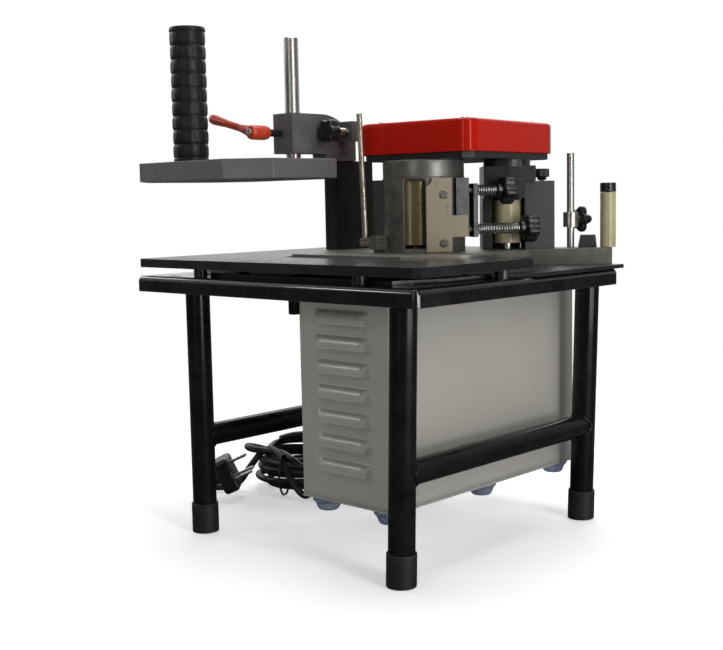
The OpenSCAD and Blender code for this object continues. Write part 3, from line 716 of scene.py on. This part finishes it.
def fuse(o, voxel_mm, rounds):
    """Melts joined shapes into one smooth moulding."""
    o.modifiers.clear()
    remesh = o.modifiers.new("fuse", "REMESH")
    remesh.mode = "VOXEL"
    remesh.voxel_size = voxel_mm * MM
    remesh.use_smooth_shade = True
    soft = o.modifiers.new("soft", "SMOOTH")
    soft.factor, soft.iterations = 0.5, rounds


def stand_for(o, body, slot_name, *replaced):
    """Puts a piece on its body and hides the CAD nodes it takes the place of; slot_name is not used."""
    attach(o, body)
    if replaced:
        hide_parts(*replaced)
    return o


def spline(points, per):
    """Catmull-Rom curve through the points, in per steps from one to the next."""
    p = [np.array(q, float) for q in points]
    p = [2 * p[0] - p[1], *p, 2 * p[-1] - p[-2]]
    out = []
    for a, b, c, d in zip(p, p[1:], p[2:], p[3:]):
        for k in range(per):
            t = k / per
            bend, twist = 2 * a - 5 * b + 4 * c - d, 3 * b - a - 3 * c + d
            out.append(0.5 * (2 * b + (c - a) * t + bend * t * t + twist * t**3))
    out.append(p[-2])
    return out


# ---------------------------------------------------------------- the cover


def gear_cover():
    """The pressed red lid, open below, and its four screws."""
    w, l, h, wall, top = 143, 170, 33, 2.0, 4.5
    low = 393.5
    outline = soften([(-w, 0), (0, 0), (0, l), (-w, l)], 16, 10, True)

    def loop(inset, z):
        return [(x, y, z) for x, y in offset(outline, inset)]

    rows = [loop(wall, h - wall), loop(wall, 0.4), loop(wall - 0.5, 0), loop(0.8, 0), loop(0.15, 0.3)]
    rows += [loop(0, z) for z in (1.0, 4, h * 0.5, h - top - 1)]
    rows += [loop(top * c, h - top + top * s) for c, s in quarter(8)]
    rows.append(loop(top + 6, h))
    shell = weigh(rings("gear_cover_shell", rows, "cover", place(129, 4, low, 5)))
    stand_for(shell, "base", "cover_red", "gear_cover")
    screw = [(0, -1), (4.6, -1), (4.6, 1.2), (3.4, 2.4), (1.9, 2.5), (1.8, 0.9), (0, 0.9)]
    screws = []
    for x, y in ((-20, 20), (-w + 20, 20), (-20, l - 20), (-w + 20, l - 20)):
        screws.append(lathe("s", screw, "zinc", place(129, 4, low + h, 5) @ shift(x, y, 0), 0.5, 28))
    stand_for(join("cover_screws", *screws), "base", "zinc_steel")


gear_cover()

# ------------------------------------------------------------ grip and lever


def grip():
    """The rubber grip: rows of pads, each row turned half a pad from the last."""
    h, r, rows_n, pads = 141.0, 19.0, 9, 7
    foot, head, groove = 4.0, 4.5, 1.9
    row_h = (h - foot - head) / rows_n
    steps, n = 190, 128

    def radius(a, z):
        if z < foot:
            return r - 0.3
        if z > h - head:
            t = (z - h + head) / head
            return r + 0.2 - 1.4 * max(0.0, t - 0.55) ** 2 * 4
        row = int((z - foot) / row_h)
        v = ((z - foot) / row_h - row) * 2 - 1
        u = ((a * pads / (2 * math.pi) + 0.5 * (row % 2)) % 1) * 2 - 1
        crown = max(0.0, 1 - abs(v) ** 3.2) * (0.45 + 0.55 * max(0.0, 1 - abs(u) ** 4.5))
        return r - groove + groove * crown**0.5

    loops = [circle(4.2, 0, n), circle(r - 1.0, 0, n)]
    for j in range(steps + 1):
        z = h * j / steps
        loops.append(circle(1, z, n, lambda a: radius(a, z)))
    loops += [circle(r - 3.2, h, n), circle(r - 4.4, h - 1.2, n), circle(5, h - 1.6, n), circle(4.2, h - 3, n)]
    o = rings("handle_grip_rubber", loops, "grip", place(-150, -121, 391))
    stand_for(o, "tray", "grip_rubber", "handle_grip")


grip()


def lever():
    """The cast clamp lever and the screw in its hub."""
    hub = place(-96, -59, 421)
    boss = [(0, 26), (6.2, 26), (7.6, 24.6), (8, 20), (8, 6), (6.8, 1.2), (5.2, 0), (0, 0)]
    body = lathe("a", boss, "lever", hub @ TO_MINUS_Y, 0.9, 40)
    handle = [(0, -3), (6.4, -3), (6.0, 8), (4.1, 22), (4.2, 44), (5.2, 58), (5.8, 66), (5.0, 71)]
    handle += [(2.6, 74), (0, 74.4)]
    arm = lathe("b", handle, "lever", hub @ shift(0, -20, 0) @ turned(-75, "Y"), 2.5, 40)
    o = join("clamp_lever_body", body, arm)
    fuse(o, 0.7, 7)
    stand_for(o, "clamp", "lever_red", "clamp_lever")
    head = [(0, 0), (3.6, 0), (3.6, 1.4), (2.9, 2.1), (1.6, 2.1), (1.5, 1.0), (0, 1.0)]
    screw = lathe("clamp_lever_screw", head, "zinc", hub @ shift(0, -26, 0) @ TO_MINUS_Y, 0.4, 32)
    stand_for(screw, "clamp", "zinc_steel")


lever()

# --------------------------------------------------------------- star knobs


def star_knob(name, at, r, h, lobes, hub, body, replaced, depth=0.3):
    """A moulded knob along the frame's +Z, with a hub (radius, height) below and a hollow above."""

    def wobble(share):
        def f(a):
            c = 0.5 + 0.5 * math.cos(lobes * a)
            return 1 - depth * share * (1 - c**0.62)
        return f

    # radius, height and share of the lobes' depth
    hub_r, hub_h = hub
    line = [(0, -hub_h, 0), (hub_r - 0.8, -hub_h, 0), (hub_r, -hub_h + 0.8, 0), (hub_r, -0.4, 0)]
    line.append((hub_r + 0.4, 0, 0.25))
    edge = min(2.8, h * 0.3)
    line += [(r - edge * (1 - s), edge * c, 1) for c, s in quarter(5)]
    line += [(r - edge * c, h - edge + edge * s, 1) for c, s in quarter(5)]
    line += [(r * 0.6, h + 0.5, 0.6), (r * 0.34, h + 0.7, 0), (r * 0.3, h - 0.6, 0), (0, h - 0.6, 0)]
    loops = [circle(max(q, 0.01), z, 90, wobble(s)) for q, z, s in line]
    stand_for(weigh(rings(name, loops, "knob", at)), body, "knob_plastic", *replaced)


def threaded(name, at, r, length, pitch, look, body, slot_name, depth=0.35):
    """A threaded rod along the frame's +Z."""
    n, per = 26, 4

    def radius(a, z):
        phase = (z / pitch - a / (2 * math.pi)) % 1
        end = z < 1 or z > length - 1
        return r - depth * max(abs(2 * phase - 1), 0.8 if end else 0)

    loops = [circle(0.01, 0, n), circle(r - depth, 0, n)]
    steps = int(length / pitch * per)
    for j in range(1, steps):
        z = length * j / steps
        loops.append(circle(1, z, n, lambda a: radius(a, z)))
    loops += [circle(r - depth, length, n), circle(0.01, length, n)]
    return stand_for(rings(name, loops, look, at), body, slot_name)


def press_frame(z):
    """The axis of a pressure spindle at height z, pointing along +X."""
    return place(46, 30, z, 60) @ shift(0, -36, 0)


def pressure_set(label, z, spring_l, coils, rod_l, springs=(), spindles=()):
    """One threaded spindle with its spring and star knob."""
    spring_from, wire_r, coil_r, per = 44.2, 0.7, 5.1, 22
    knob = press_frame(z) @ shift(spring_from + spring_l + 6, 0, 0) @ TO_X
    name = f"{label}_pressure_knob"
    star_knob(name, knob, 15, 13.5, 5, (7, 5.5), name, (f"{label}_knob",))
    path = []
    for k in range(coils * per + 1):
        t = k / (coils * per)
        a = 2 * math.pi * coils * t
        along = t - 0.018 * math.sin(2 * math.pi * t)
        path.append((wire_r + (spring_l - 2 * wire_r) * along, coil_r * math.cos(a), coil_r * math.sin(a)))
    coil = tube(f"{label}_spring", path, wire_r, "spring", press_frame(z) @ shift(spring_from, 0, 0), 8)
    rod_at = press_frame(z) @ shift(28, 0, 0) @ TO_X
    rod = threaded(f"{label}_spindle", rod_at, 3, rod_l, 1.0, "aged", "base", "bright_steel")
    stand_for(coil, "base", "spring_steel", *springs)
    if spindles:
        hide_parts(*spindles)


pressure_set("upper", 355, 22, 8, 58.6, ("pressure_springs",), ("pressure_spindles",))
pressure_set("lower", 315, 48, 17, 82.6)

tension = place(-63, 8, 423)
star_knob("tension_knob_head", tension @ TO_MINUS_Y, 13, 14, 6, (6, 2.5), "tension", ("tension_knob",), 0.22)
threaded("tension_stud", tension @ shift(0, -3, 0) @ TO_Y, 4, 40, 1.25, "zinc", "tension", "zinc_steel")
guide = place(141, 162, 322)
guide_knob = guide @ shift(0, 13.3, 0) @ TO_Y
star_knob("guide_knob_head", guide_knob, 14.5, 8, 5, (5.5, 1.0), "collar_knob", ("guide_knob",), 0.34)
threaded("guide_knob_stud", guide @ shift(0, 5.2, 0) @ TO_Y, 2.5, 9, 0.8, "zinc", "collar_knob", "zinc_steel", 0.25)


def knurled(name, at, r, h, body, replaced, count, collar=None):
    """A knurled plastic head along the frame's +Z, on a collar (radius, height) where one is given."""
    depth = 0.05

    def ring(q, z, share):
        return circle(max(q, 0.01), z, count * 5, lambda a: 1 - share * depth * (0.5 - 0.5 * math.cos(count * a)))

    # radius, height and share of the knurls' depth
    line = [(0, -collar[1], 0), (collar[0], -collar[1], 0), (collar[0], 0, 0)] if collar else [(0, 0, 0)]
    line += [(r - 1.0, 0, 0), (r - 0.2, 0.5, 0.5), (r, 1.1, 1), (r, h - 1.2, 1), (r - 0.3, h - 0.5, 0.6)]
    line += [(r - 1.1, h, 0), (r * 0.55, h, 0), (r * 0.5, h - 0.5, 0), (0, h - 0.5, 0)]
    stand_for(weigh(rings(name, [ring(*v) for v in line], "knob", at)), body, "knob_plastic", *replaced)


FEED_AT = (93.1404, 112.3592)  # the feed roller's axis
thumb = place(*FEED_AT, 364, 43.5) @ shift(38, 3, 0)
knurled("thumb_screw_head", thumb @ shift(0, 0, 3.9), 8, 9, "thumb", ("thumb_screw",), 32, (5, 2.9))
threaded("thumb_screw_shank", thumb @ shift(0, 0, -20), 3, 22, 1.0, "zinc", "thumb", "zinc_steel")
SPEED_KNOB = place(18, 75, 205)
knurled("speed_knob_body", SPEED_KNOB @ shift(-1, 0, 0) @ TO_MINUS_X, 11, 17, "speed", ("speed_knob",), 30)
line = soften([(-0.6, 2.5), (0.6, 2.5), (0.6, 9), (-0.6, 9)], 0.3, 2, True)
pointer = prism("speed_knob_pointer", line, 0, 0.5, "mark", SPEED_KNOB @ shift(-18, 0, 0) @ TO_MINUS_X, 0.15, 1)
stand_for(pointer, "speed", "knob_plastic")

# ---------------------------------------------------------------- the stand


def pot_opening():
    """The glue pot with the tall opening that shows its roller, beside the gate plate."""
    source = nodes["glue_pot"]
    bpy.context.view_layer.update()
    mesh = bpy.data.meshes.new_from_object(source.evaluated_get(bpy.context.evaluated_depsgraph_get()))
    mesh.transform(source.matrix_world)
    o = put("glue_pot_open", mesh)
    plan = soften([(-22, -50), (-0.8, -50), (-0.8, -18), (-22, -18)], 1.5, 3, True)
    carve(o, prism("c", plan, 296.5, 365.5, "pot", place(46, 30, 0, 43.5), 0.8, 2))
    stand_for(weigh(o), "base", "pot_cast", "glue_pot")


pot_opening()


def stand_top():
    """The folded frame: a deep outer wall, rolled top edges and a wide slotted flange."""
    half_x, half_y, low, high = 200.0, 163.0, 254.0, 271.0
    roll, flange, flange_t, wall = 5.5, 42.0, 4.0, 3.0

    def loop(inset, z):
        hx, hy, r = half_x - inset, half_y - inset, max(6.5 - inset, 0.8)
        points = []
        for sx, sy, start in ((1, 1, 0), (-1, 1, 90), (-1, -1, 180), (1, -1, 270)):
            points += arc(sx * (hx - r), sy * (hy - r), r, start, 90, 6)
        return [(x, y, z) for x, y in points]

    rows = [(wall - 0.5, low), (0.5, low), (0, low + 0.6)]
    rows += [(roll * c, high - roll + roll * s) for c, s in quarter(8)]
    under = high - flange_t
    rows += [(roll + 3, high), (flange - 0.7, high), (flange, high - 0.7), (flange, under + 0.7)]
    rows += [(flange - 0.7, under), (wall + 1.2, under), (wall, under - 1.2), (wall, low + 0.5)]
    o = rings("stand_frame_folded", [loop(*row) for row in rows], "rim", HOME, closed=True)
    bm = bmesh.new()
    bm.from_mesh(o.data)
    bmesh.ops.recalc_face_normals(bm, faces=bm.faces)
    bm.to_mesh(o.data)
    bm.free()
    slots = []
    for x in (-150, -75, 0, 75, 150):
        for y in (-148, 148):
            outline = arc(x + 6, y, 3.5, -90, 180, 8) + arc(x - 6, y, 3.5, 90, 180, 8)
            slots.append(prism("c", outline, low - 1, high + 2, "stand", HOME, 0.1, 1))
    carve(o, *slots)
    round_off(o, 0.4, 2, 40)
    stand_for(o, "base", "stand_paint", "stand_frame")
    tab = soften([(8, -133), (17.5, -133), (17.5, -117), (8, -117)], 1.2, 2, True)
    stand_for(prism("stand_tab", tab, 237, 268, "stand", HOME, 0.6, 2), "base", "stand_paint")


stand_top()


def weld_beads():
    """The uneven seams where the side tubes meet the legs."""
    leg_r, bar_r, z = 12.5, 12.0, 102.5
    angles = np.arange(8) * math.pi / 4
    beads = []
    for side, x, lean in ((-1, -115, 0.0), (1, 172, 1.8)):
        about = place(x, 0, 271) @ turned(lean, "Y") @ shift(0, 0, -271)
        for s in (-1, 1):
            path = []
            for k in range(48):
                a = 2 * math.pi * k / 48
                bx, bz = bar_r * math.cos(a), bar_r * math.sin(a)
                by = 147 - math.sqrt(max(leg_r**2 - bx**2, 0.0)) - 0.3
                wob = 0.5 * noise.noise(Vector((bx, bz, s * 5 + side * 9)) * 0.4)
                path.append((bx * 1.02, s * (by - wob), z + bz * 1.02))
            loops = []
            p = np.array(path)
            n = len(p)
            for i in range(n):
                t = p[(i + 1) % n] - p[i - 1]
                t /= np.linalg.norm(t)
                out = np.array((p[i][0], 0, p[i][2] - z))
                out /= np.linalg.norm(out)
                up = np.cross(t, out)
                up /= np.linalg.norm(up)
                rr = 1.7 + 0.35 * math.sin(i * 2.1) + 0.3 * noise.noise(Vector(p[i]) * 0.3)
                loops.append([tuple(p[i] + rr * (math.cos(b) * out + math.sin(b) * up)) for b in angles])
            beads.append(rings("w", loops, "stand", about, closed=True))
    stand_for(join("weld_beads", *beads), "base", "stand_paint")


weld_beads()


def box_feet():
    """Six clear blue rubber feet under the box."""
    profile = [(0, 0.8), (3.4, 0.8), (3.8, 0), (9, 0), (10.6, 1.6), (13.4, 8.4), (15.3, 9.6)]
    profile += [(15.5, 13.5), (0, 13.5)]
    made = []
    for y in (-113, 28, 158):
        for x in (38, 120):
            made.append(lathe("f", profile, "feet", place(x, y, 43), 0.9, 44))
    stand_for(join("box_feet_rubber", *made), "base", "feet_rubber", "box_feet")


box_feet()

# ---------------------------------------------------------- the control box

BOX = (18, -129, 58)
BOX_SIZE = (120, 301, 196)
LOUVRES = [87 + 24 * i for i in range(7)]


def box_shell():
    """The sheet steel case, with seven hooded louvres pressed out of its front and open below each hood."""
    w, l, h = BOX_SIZE
    corner, depth, hood, sheet = 3.0, 7.0, 13.0, 1.4
    x_low, x_high, ramp = 24.0, 95.0, 9.0
    across, along = w - 2 * corner, l - 2 * corner
    columns = 74  # points across the louvred face

    def bend(cx, cy, start):
        return arc(cx, cy, corner, start, 90, 5)[1:]

    plan = [(corner + across * k / columns, 0) for k in range(columns + 1)]
    plan += bend(w - corner, corner, -90)
    plan += [(w, corner + along * k / 8) for k in range(1, 9)]
    plan += bend(w - corner, l - corner, 0)
    plan += [(w - corner - across * k / 5, l) for k in range(1, 6)]
    plan += bend(corner, l - corner, 90)
    plan += [(0, l - corner - along * k / 8) for k in range(1, 9)]
    plan += bend(corner, corner, 180)[:-1]

    def hood_depth(x, z, z0):
        if z < z0 or z > z0 + hood or x <= x_low or x >= x_high:
            return 0.0
        t = (z - z0) / hood
        e = min(1.0, (x - x_low) / ramp, (x_high - x) / ramp)
        end = math.sin(e * math.pi / 2) ** 0.75
        limit = max(0.0, 1 - t * t * (1.0 + 0.25 * (1 - e)))
        return depth * end * math.sqrt(limit) ** 1.15

    # height, and the height of the louvre whose hood it cuts; "below" is the edge of an opening
    levels = [(0.0, None), (8.0, None), (18.0, None)]
    for z0 in LOUVRES:
        zl = z0 - BOX[2]
        levels += [(zl - 1.2, None), (zl, "below"), (zl, zl)]
        levels += [(zl + hood * k / 9, zl) for k in range(1, 10)] + [(zl + hood + 1.2, None)]
    levels += [(h - 6, None), (h - 3, None)]
    loops, openings = [], []
    for z, owner in levels:
        loop = []
        for x, y in plan:
            pressed = y == 0 and owner not in (None, "below")
            loop.append((x, y - (hood_depth(x, z, owner) if pressed else 0), z))
        if owner == "below":
            openings.append(len(loops))
        loops.append(loop)
    for c, s in quarter(5)[1:]:
        loops.append([(x, y, h - 3 + 3 * s) for x, y in offset(plan, 2.5 * c)])
    verts, faces = bands(loops, gaps=openings)
    faces.append(tuple(range(len(verts) - len(plan), len(verts))))
    o = make("box_shell_sheet", verts, faces, "box", place(*BOX), 1e-3)
    thick = o.modifiers.new("sheet", "SOLIDIFY")
    thick.thickness = sheet * MM
    thick.offset = -1
    thick.use_even_offset = True
    stand_for(o, "base", "box_paint", "box_shell")


box_shell()


def box_brackets():
    """Hanging straps between the box and the underside of the frame."""
    made = []
    for x in (28, 108):
        for y0, y1 in ((-129, -126), (124, 150)):
            plan = soften([(x, y0), (x + 20, y0), (x + 20, y1), (x, y1)], 0.6, 2, True)
            made.append(prism("b", plan, 253.5, 267, "box", HOME, 0.4, 1))
    stand_for(join("box_brackets", *made), "base", "box_paint")


box_brackets()


def slab_at(x, y, half_x, half_y):
    """The corners of an upright rectangle."""
    return [(x - half_x, y - half_y), (x + half_x, y - half_y), (x + half_x, y + half_y), (x - half_x, y + half_y)]


def panel_details():
    """What sits on the control panel: temperature unit, speed dial, cable gland and screws."""
    face = place(18, 0, 0)
    unit = face @ shift(-6, -52, 201) @ TO_MINUS_X
    dial_at = SPEED_KNOB @ TO_MINUS_X
    # the unit's x is up, and its y runs towards the panel's right
    plan = soften(slab_at(4.5, 0, 8.5, 20), 1.5, 3, True)
    stand_for(prism("temperature_window", plan, 0, 0.8, "glass", unit, 0.3, 2), "base", "knob_plastic")
    buttons = []
    for y in (-15, -5, 5, 15):
        plan = soften(slab_at(-10.25, y, 2.25, 3), 1.0, 3, True)
        buttons.append(prism("k", plan, 0, 1.2, "cap", unit, 0.4, 2))
    stand_for(join("temperature_buttons", *buttons), "base", "cap_rubber")
    # segment: centre, and whether it lies across the digit
    segments = {
        "a": (5.2, 0, 1), "g": (0, 0, 1), "d": (-5.2, 0, 1),
        "b": (2.6, -2.6, 0), "c": (-2.6, -2.6, 0), "f": (2.6, 2.6, 0), "e": (-2.6, 2.6, 0),
    }
    bars = []
    for column, lit in enumerate(("bc", "abcdefg", "abcdef")):
        for segment, (x, y, across) in segments.items():
            if segment in lit:
                bar = slab_at(4.5 + x, 9 - 9.5 * column + y, *((0.5, 2.0) if across else (2.0, 0.5)))
                bars.append(prism("d", bar, 0.7, 0.95, "digit", unit, 0.05, 1))
    # the digit bars carry the display's painted glow
    stand_for(join("temperature_digits", *bars), "base", "rocker_red")
    disc = [(0, 0), (19, 0), (19, 0.6), (12, 0.8), (0, 0.8)]
    stand_for(lathe("speed_dial", disc, "table", dial_at, 0.3, 72), "base", "table_paint")
    ticks = []
    for k in range(11):
        size = 2.6 if k % 5 == 0 else 1.6
        mark = slab_at(14.2 + size / 2, 0, size / 2, 0.35)
        ticks.append(prism("t", mark, 0.5, 0.95, "mark", dial_at @ turned(-135 + 27 * k, "Z"), 0.1, 1))
    stand_for(join("speed_ticks", *ticks), "base", "knob_plastic")
    sleeve = [(0, -2), (9, -2), (9.5, 0), (9.5, 3), (8, 4), (7.6, 9), (6.4, 12), (5.0, 13), (0, 13)]
    gland = lathe("cable_gland", sleeve, "knob", face @ shift(0, 116, 82) @ TO_MINUS_X, 0.6, 40)
    stand_for(gland, "base", "knob_plastic")
    head = [(0, 0), (4.0, 0), (3.9, 1.0), (2.6, 2.0), (1.5, 2.1), (1.4, 1.0), (0, 1.0)]
    screws = []
    for y in (-115, 158):
        for z in (70, 242):
            screws.append(lathe("s", head, "zinc", face @ shift(0, y, z) @ TO_MINUS_X, 0.4, 28))
    stand_for(join("panel_screws", *screws), "base", "zinc_steel")


panel_details()

# ------------------------------------------------------------ cord and plug


PLUG_AT = place(-194, -36, 34.5, 43.5) @ turned(-24, "Y")


def cord():
    """The coiled mains cable, with its tail up to the box and its lead out to the plug."""
    cx, cy, r = -172, 60, 4.0
    turns, per = 8, 10  # loops, and points on each
    lead = []
    for x, z in ((-26, 0), (-38, 1)):
        spot = PLUG_AT @ (Vector((x, 0, z)) * MM) / MM
        lead.append(tuple(spot - Vector((*STAND_CENTRE, 0))))
    lead += [(-236, -52, 14), (-234, -30, 5), (-218, -14, 10), (-206, -4, 30), (-196, 6, 47)]
    lead += [(-182, 10, 52), (-160, 6, 44), (-140, 2, 22), (-124, 6, 6)]
    coil = []
    for i in range(3, turns * per):
        k = i / per
        j = int(k)
        a = math.radians(215 + 360 * k)
        rad = (58.5, 50)[j % 2] + 1.3 * math.sin(1.7 * i) + 1.2 * math.sin(0.43 * i + 1)
        x = cx + 1.6 * math.sin(j * 2.3) + rad * math.cos(a)
        y = cy + 1.6 * math.cos(j * 1.9) + rad * math.sin(a)
        coil.append((x, y, 4.6 + 5.0 * k + (0.2 + 0.5 * k) * (1 + math.sin(a + 0.8 * j))))
    tail = [(cx - 44, cy + 22, 54), (cx - 30, cy + 44, 50), (-158, 112, 36), (-126, 118, 14), (-90, 117, 5.5)]
    tail += [(-46, 116, 5.5), (-20, 116, 12), (-4, 116, 36), (-1, 116, 64), (4, 116, 79), (17, 116, 82)]
    cable = tube("power_cord_cable", spline(lead + coil + tail, 7), r, "cord", HOME, 14)
    stand_for(cable, "base", "cord_rubber", "power_cord")
    fold = [(-200, 40, 40), (-216, 14, 50), (-212, -2, 54), (-200, -6, 53)]
    fold += [(-186, 6, 50), (-166, 12, 49), (-146, 10, 44), (-132, 16, 34)]
    stand_for(tube("cord_fold", spline(fold, 8), r, "cord", HOME, 12), "base", "cord_rubber")
    tie = []
    for k in range(41):
        a = 2 * math.pi * (k % 40) / 40
        tie.append((54.5 + 11.5 * math.cos(a), 0, max(25 + 24.5 * math.sin(a), 1.5)))
    stand_for(tube("cord_tie", tie, 1.3, "cord", place(cx, cy, 0, -75), 8), "base", "cord_rubber")


cord()


def plug():
    """The mains plug, moulded round three flat pins."""
    plan = soften([(-22, -15), (-18, -20), (-2, -20), (-2, 20), (-18, 20), (-22, 15)], 4, 4, True)
    body = prism("p", plan, -21, 20, "knob", PLUG_AT, 4, 4)
    sleeve = [(0, 0), (9, 0), (8, 6), (6, 14), (5, 18), (0, 18)]
    neck = lathe("n", sleeve, "knob", PLUG_AT @ shift(-19, 0, 0) @ TO_MINUS_X, 1.5, 32)
    o = join("plug_body", body, neck)
    fuse(o, 0.8, 5)
    stand_for(o, "base", "knob_plastic", "power_plug")
    forward = PLUG_AT @ shift(-3, 0, 0) @ Matrix(((0, 0, 1, 0), (1, 0, 0, 0), (0, 1, 0, 0), (0, 0, 0, 1)))
    pins = []
    for y, z in ((0, 11), (-11, -8), (11, -8)):
        pins.append(prism("q", soften(slab_at(y, z, 3.1, 1.6), 0.5, 2, True), 0, 21, "spring", forward, 0.6, 2))
    stand_for(join("plug_pins", *pins), "base", "spring_steel")


plug()

# ------------------------------------------------------ floor, light, camera


def backdrop():
    """A pale floor that fades into white with distance and looks dull to the polished parts."""
    half, fade_from, fade_to = 9.0, 0.45, 1.25
    look = Look("floor", (0.86, 0.86, 0.86), 0.6).mottle(400, (0.83, 0.83, 0.835), 0.5)
    material = look.done()

    def glow(strength):
        node = look.add("ShaderNodeEmission")
        node.inputs["Strength"].default_value = strength
        return node.outputs[0]

    def mix(share, low, high):
        node = look.add("ShaderNodeMixShader")
        look.fill((share, low, high), node.inputs)
        return node.outputs[0]

    far = look.add("ShaderNodeVectorMath", operation="LENGTH")
    look.link(look.add("ShaderNodeNewGeometry").outputs["Position"], far.inputs[0])
    near = look.add("ShaderNodeAddShader")
    look.link(look.bsdf.outputs[0], near.inputs[0])
    look.link(glow(0.42), near.inputs[1])
    dull = look.add("ShaderNodeBsdfDiffuse")
    dull.inputs["Color"].default_value = (0.12, 0.12, 0.12, 1)
    rays = look.add("ShaderNodeLightPath").outputs
    seen = mix(look.ramp(far.outputs["Value"], fade_from, fade_to), near.outputs[0], glow(1.0))
    bounced = mix(rays["Is Glossy Ray"], look.bsdf.outputs[0], dull.outputs[0])
    look.link(mix(rays["Is Camera Ray"], bounced, seen), look.tree.nodes["Material Output"].inputs["Surface"])

    mesh = bpy.data.meshes.new("floor")
    low = -0.0005
    corners = [(-half, -half, low), (half, -half, low), (half, half, low), (-half, half, low)]
    mesh.from_pydata(corners, [], [(0, 1, 2, 3)])
    mesh.materials.append(material)
    put("floor", mesh)


backdrop()


def surroundings():
    """White to the camera, dim to matt parts, and to polished parts a gradient, light behind the machine."""
    behind, dim, white = (-0.69, 0.724, 0.0), 0.15, 1.0
    world = bpy.data.worlds.new("studio")
    scene.world = world
    world.use_nodes = True
    shader = Shader(world.node_tree)
    rays = shader.add("ShaderNodeLightPath").outputs
    dot = shader.add("ShaderNodeVectorMath", operation="DOT_PRODUCT")
    dot.inputs[1].default_value = behind
    shader.link(shader.add("ShaderNodeTexCoord").outputs["Generated"], dot.inputs[0])
    shade = shader.ramp(dot.outputs["Value"], -0.1, 0.9, 0.09, 0.75)
    polished = shader.mix(rays["Is Glossy Ray"], dim, shade)
    sky = shader.tree.nodes["Background"]
    sky.inputs["Color"].default_value = (1, 1, 1, 1)
    shader.link(shader.mix(rays["Is Camera Ray"], polished, white), sky.inputs["Strength"])


surroundings()

# name: place, point it faces, width and height in metres, watts
LAMPS = {
    "key": ((1.75, -0.4, 0.98), (0, 0, 0.7), (0.34, 1.86), 17),
    "fill": ((0.45, -1.85, 0.9), (0, 0, 0.6), (0.1, 1.6), 4),
    "spark": ((-1.25, -1.35, 1.1), (0, 0, 0.2), (0.3, 0.22), 2.6),
    "low": ((1.3, 0.0, 0.14), (0.1, 0.0, 0.12), (0.9, 0.22), 3.4),
    "top": ((-0.1, 0.3, 1.9), (0, 0, 0.3), (1.4, 1.0), 20),
    "rim": ((-0.8, 1.4, 1.15), (0, 0, 0.35), (1.9, 0.5), 6),
    "back": ((-1.9, -0.25, 1.1), (0, 0, 0.3), (0.6, 0.9), 6),
}
TINTS = {"key": (1.0, 0.99, 0.97), "fill": (0.98, 0.99, 1.0)}
for name, (spot, target, size, watts) in LAMPS.items():
    light = bpy.data.lights.new(name, "AREA")
    light.shape = "RECTANGLE"
    light.size, light.size_y = size
    light.energy = watts
    light.color = TINTS.get(name, (1, 1, 1))
    o = put(name, light)
    o.location = spot
    o.rotation_mode = "QUATERNION"
    o.rotation_quaternion = (Vector(target) - Vector(spot)).to_track_quat("-Z", "Y")


def camera():
    """A low view of the near right corner."""
    film, lens = 36.0, 57.69
    spot = place(840.8, -904.7, 347.3).translation
    right = Vector((0.72604, 0.68736, -0.02027))
    ahead = Vector((-0.68511, 0.7205, -0.1072))
    data = bpy.data.cameras.new("camera")
    data.sensor_fit = "HORIZONTAL"
    data.sensor_width = film
    data.lens = lens
    data.clip_start, data.clip_end = 0.05, 40
    o = put("camera", data)
    turn = Matrix((right, right.cross(ahead), -ahead)).transposed()
    o.matrix_world = Matrix.Translation(spot) @ turn.to_4x4()
    scene.camera = o


camera()
scene.view_settings.view_transform = "Standard"
scene.view_settings.look = "None"
scene.view_settings.exposure = 0.0
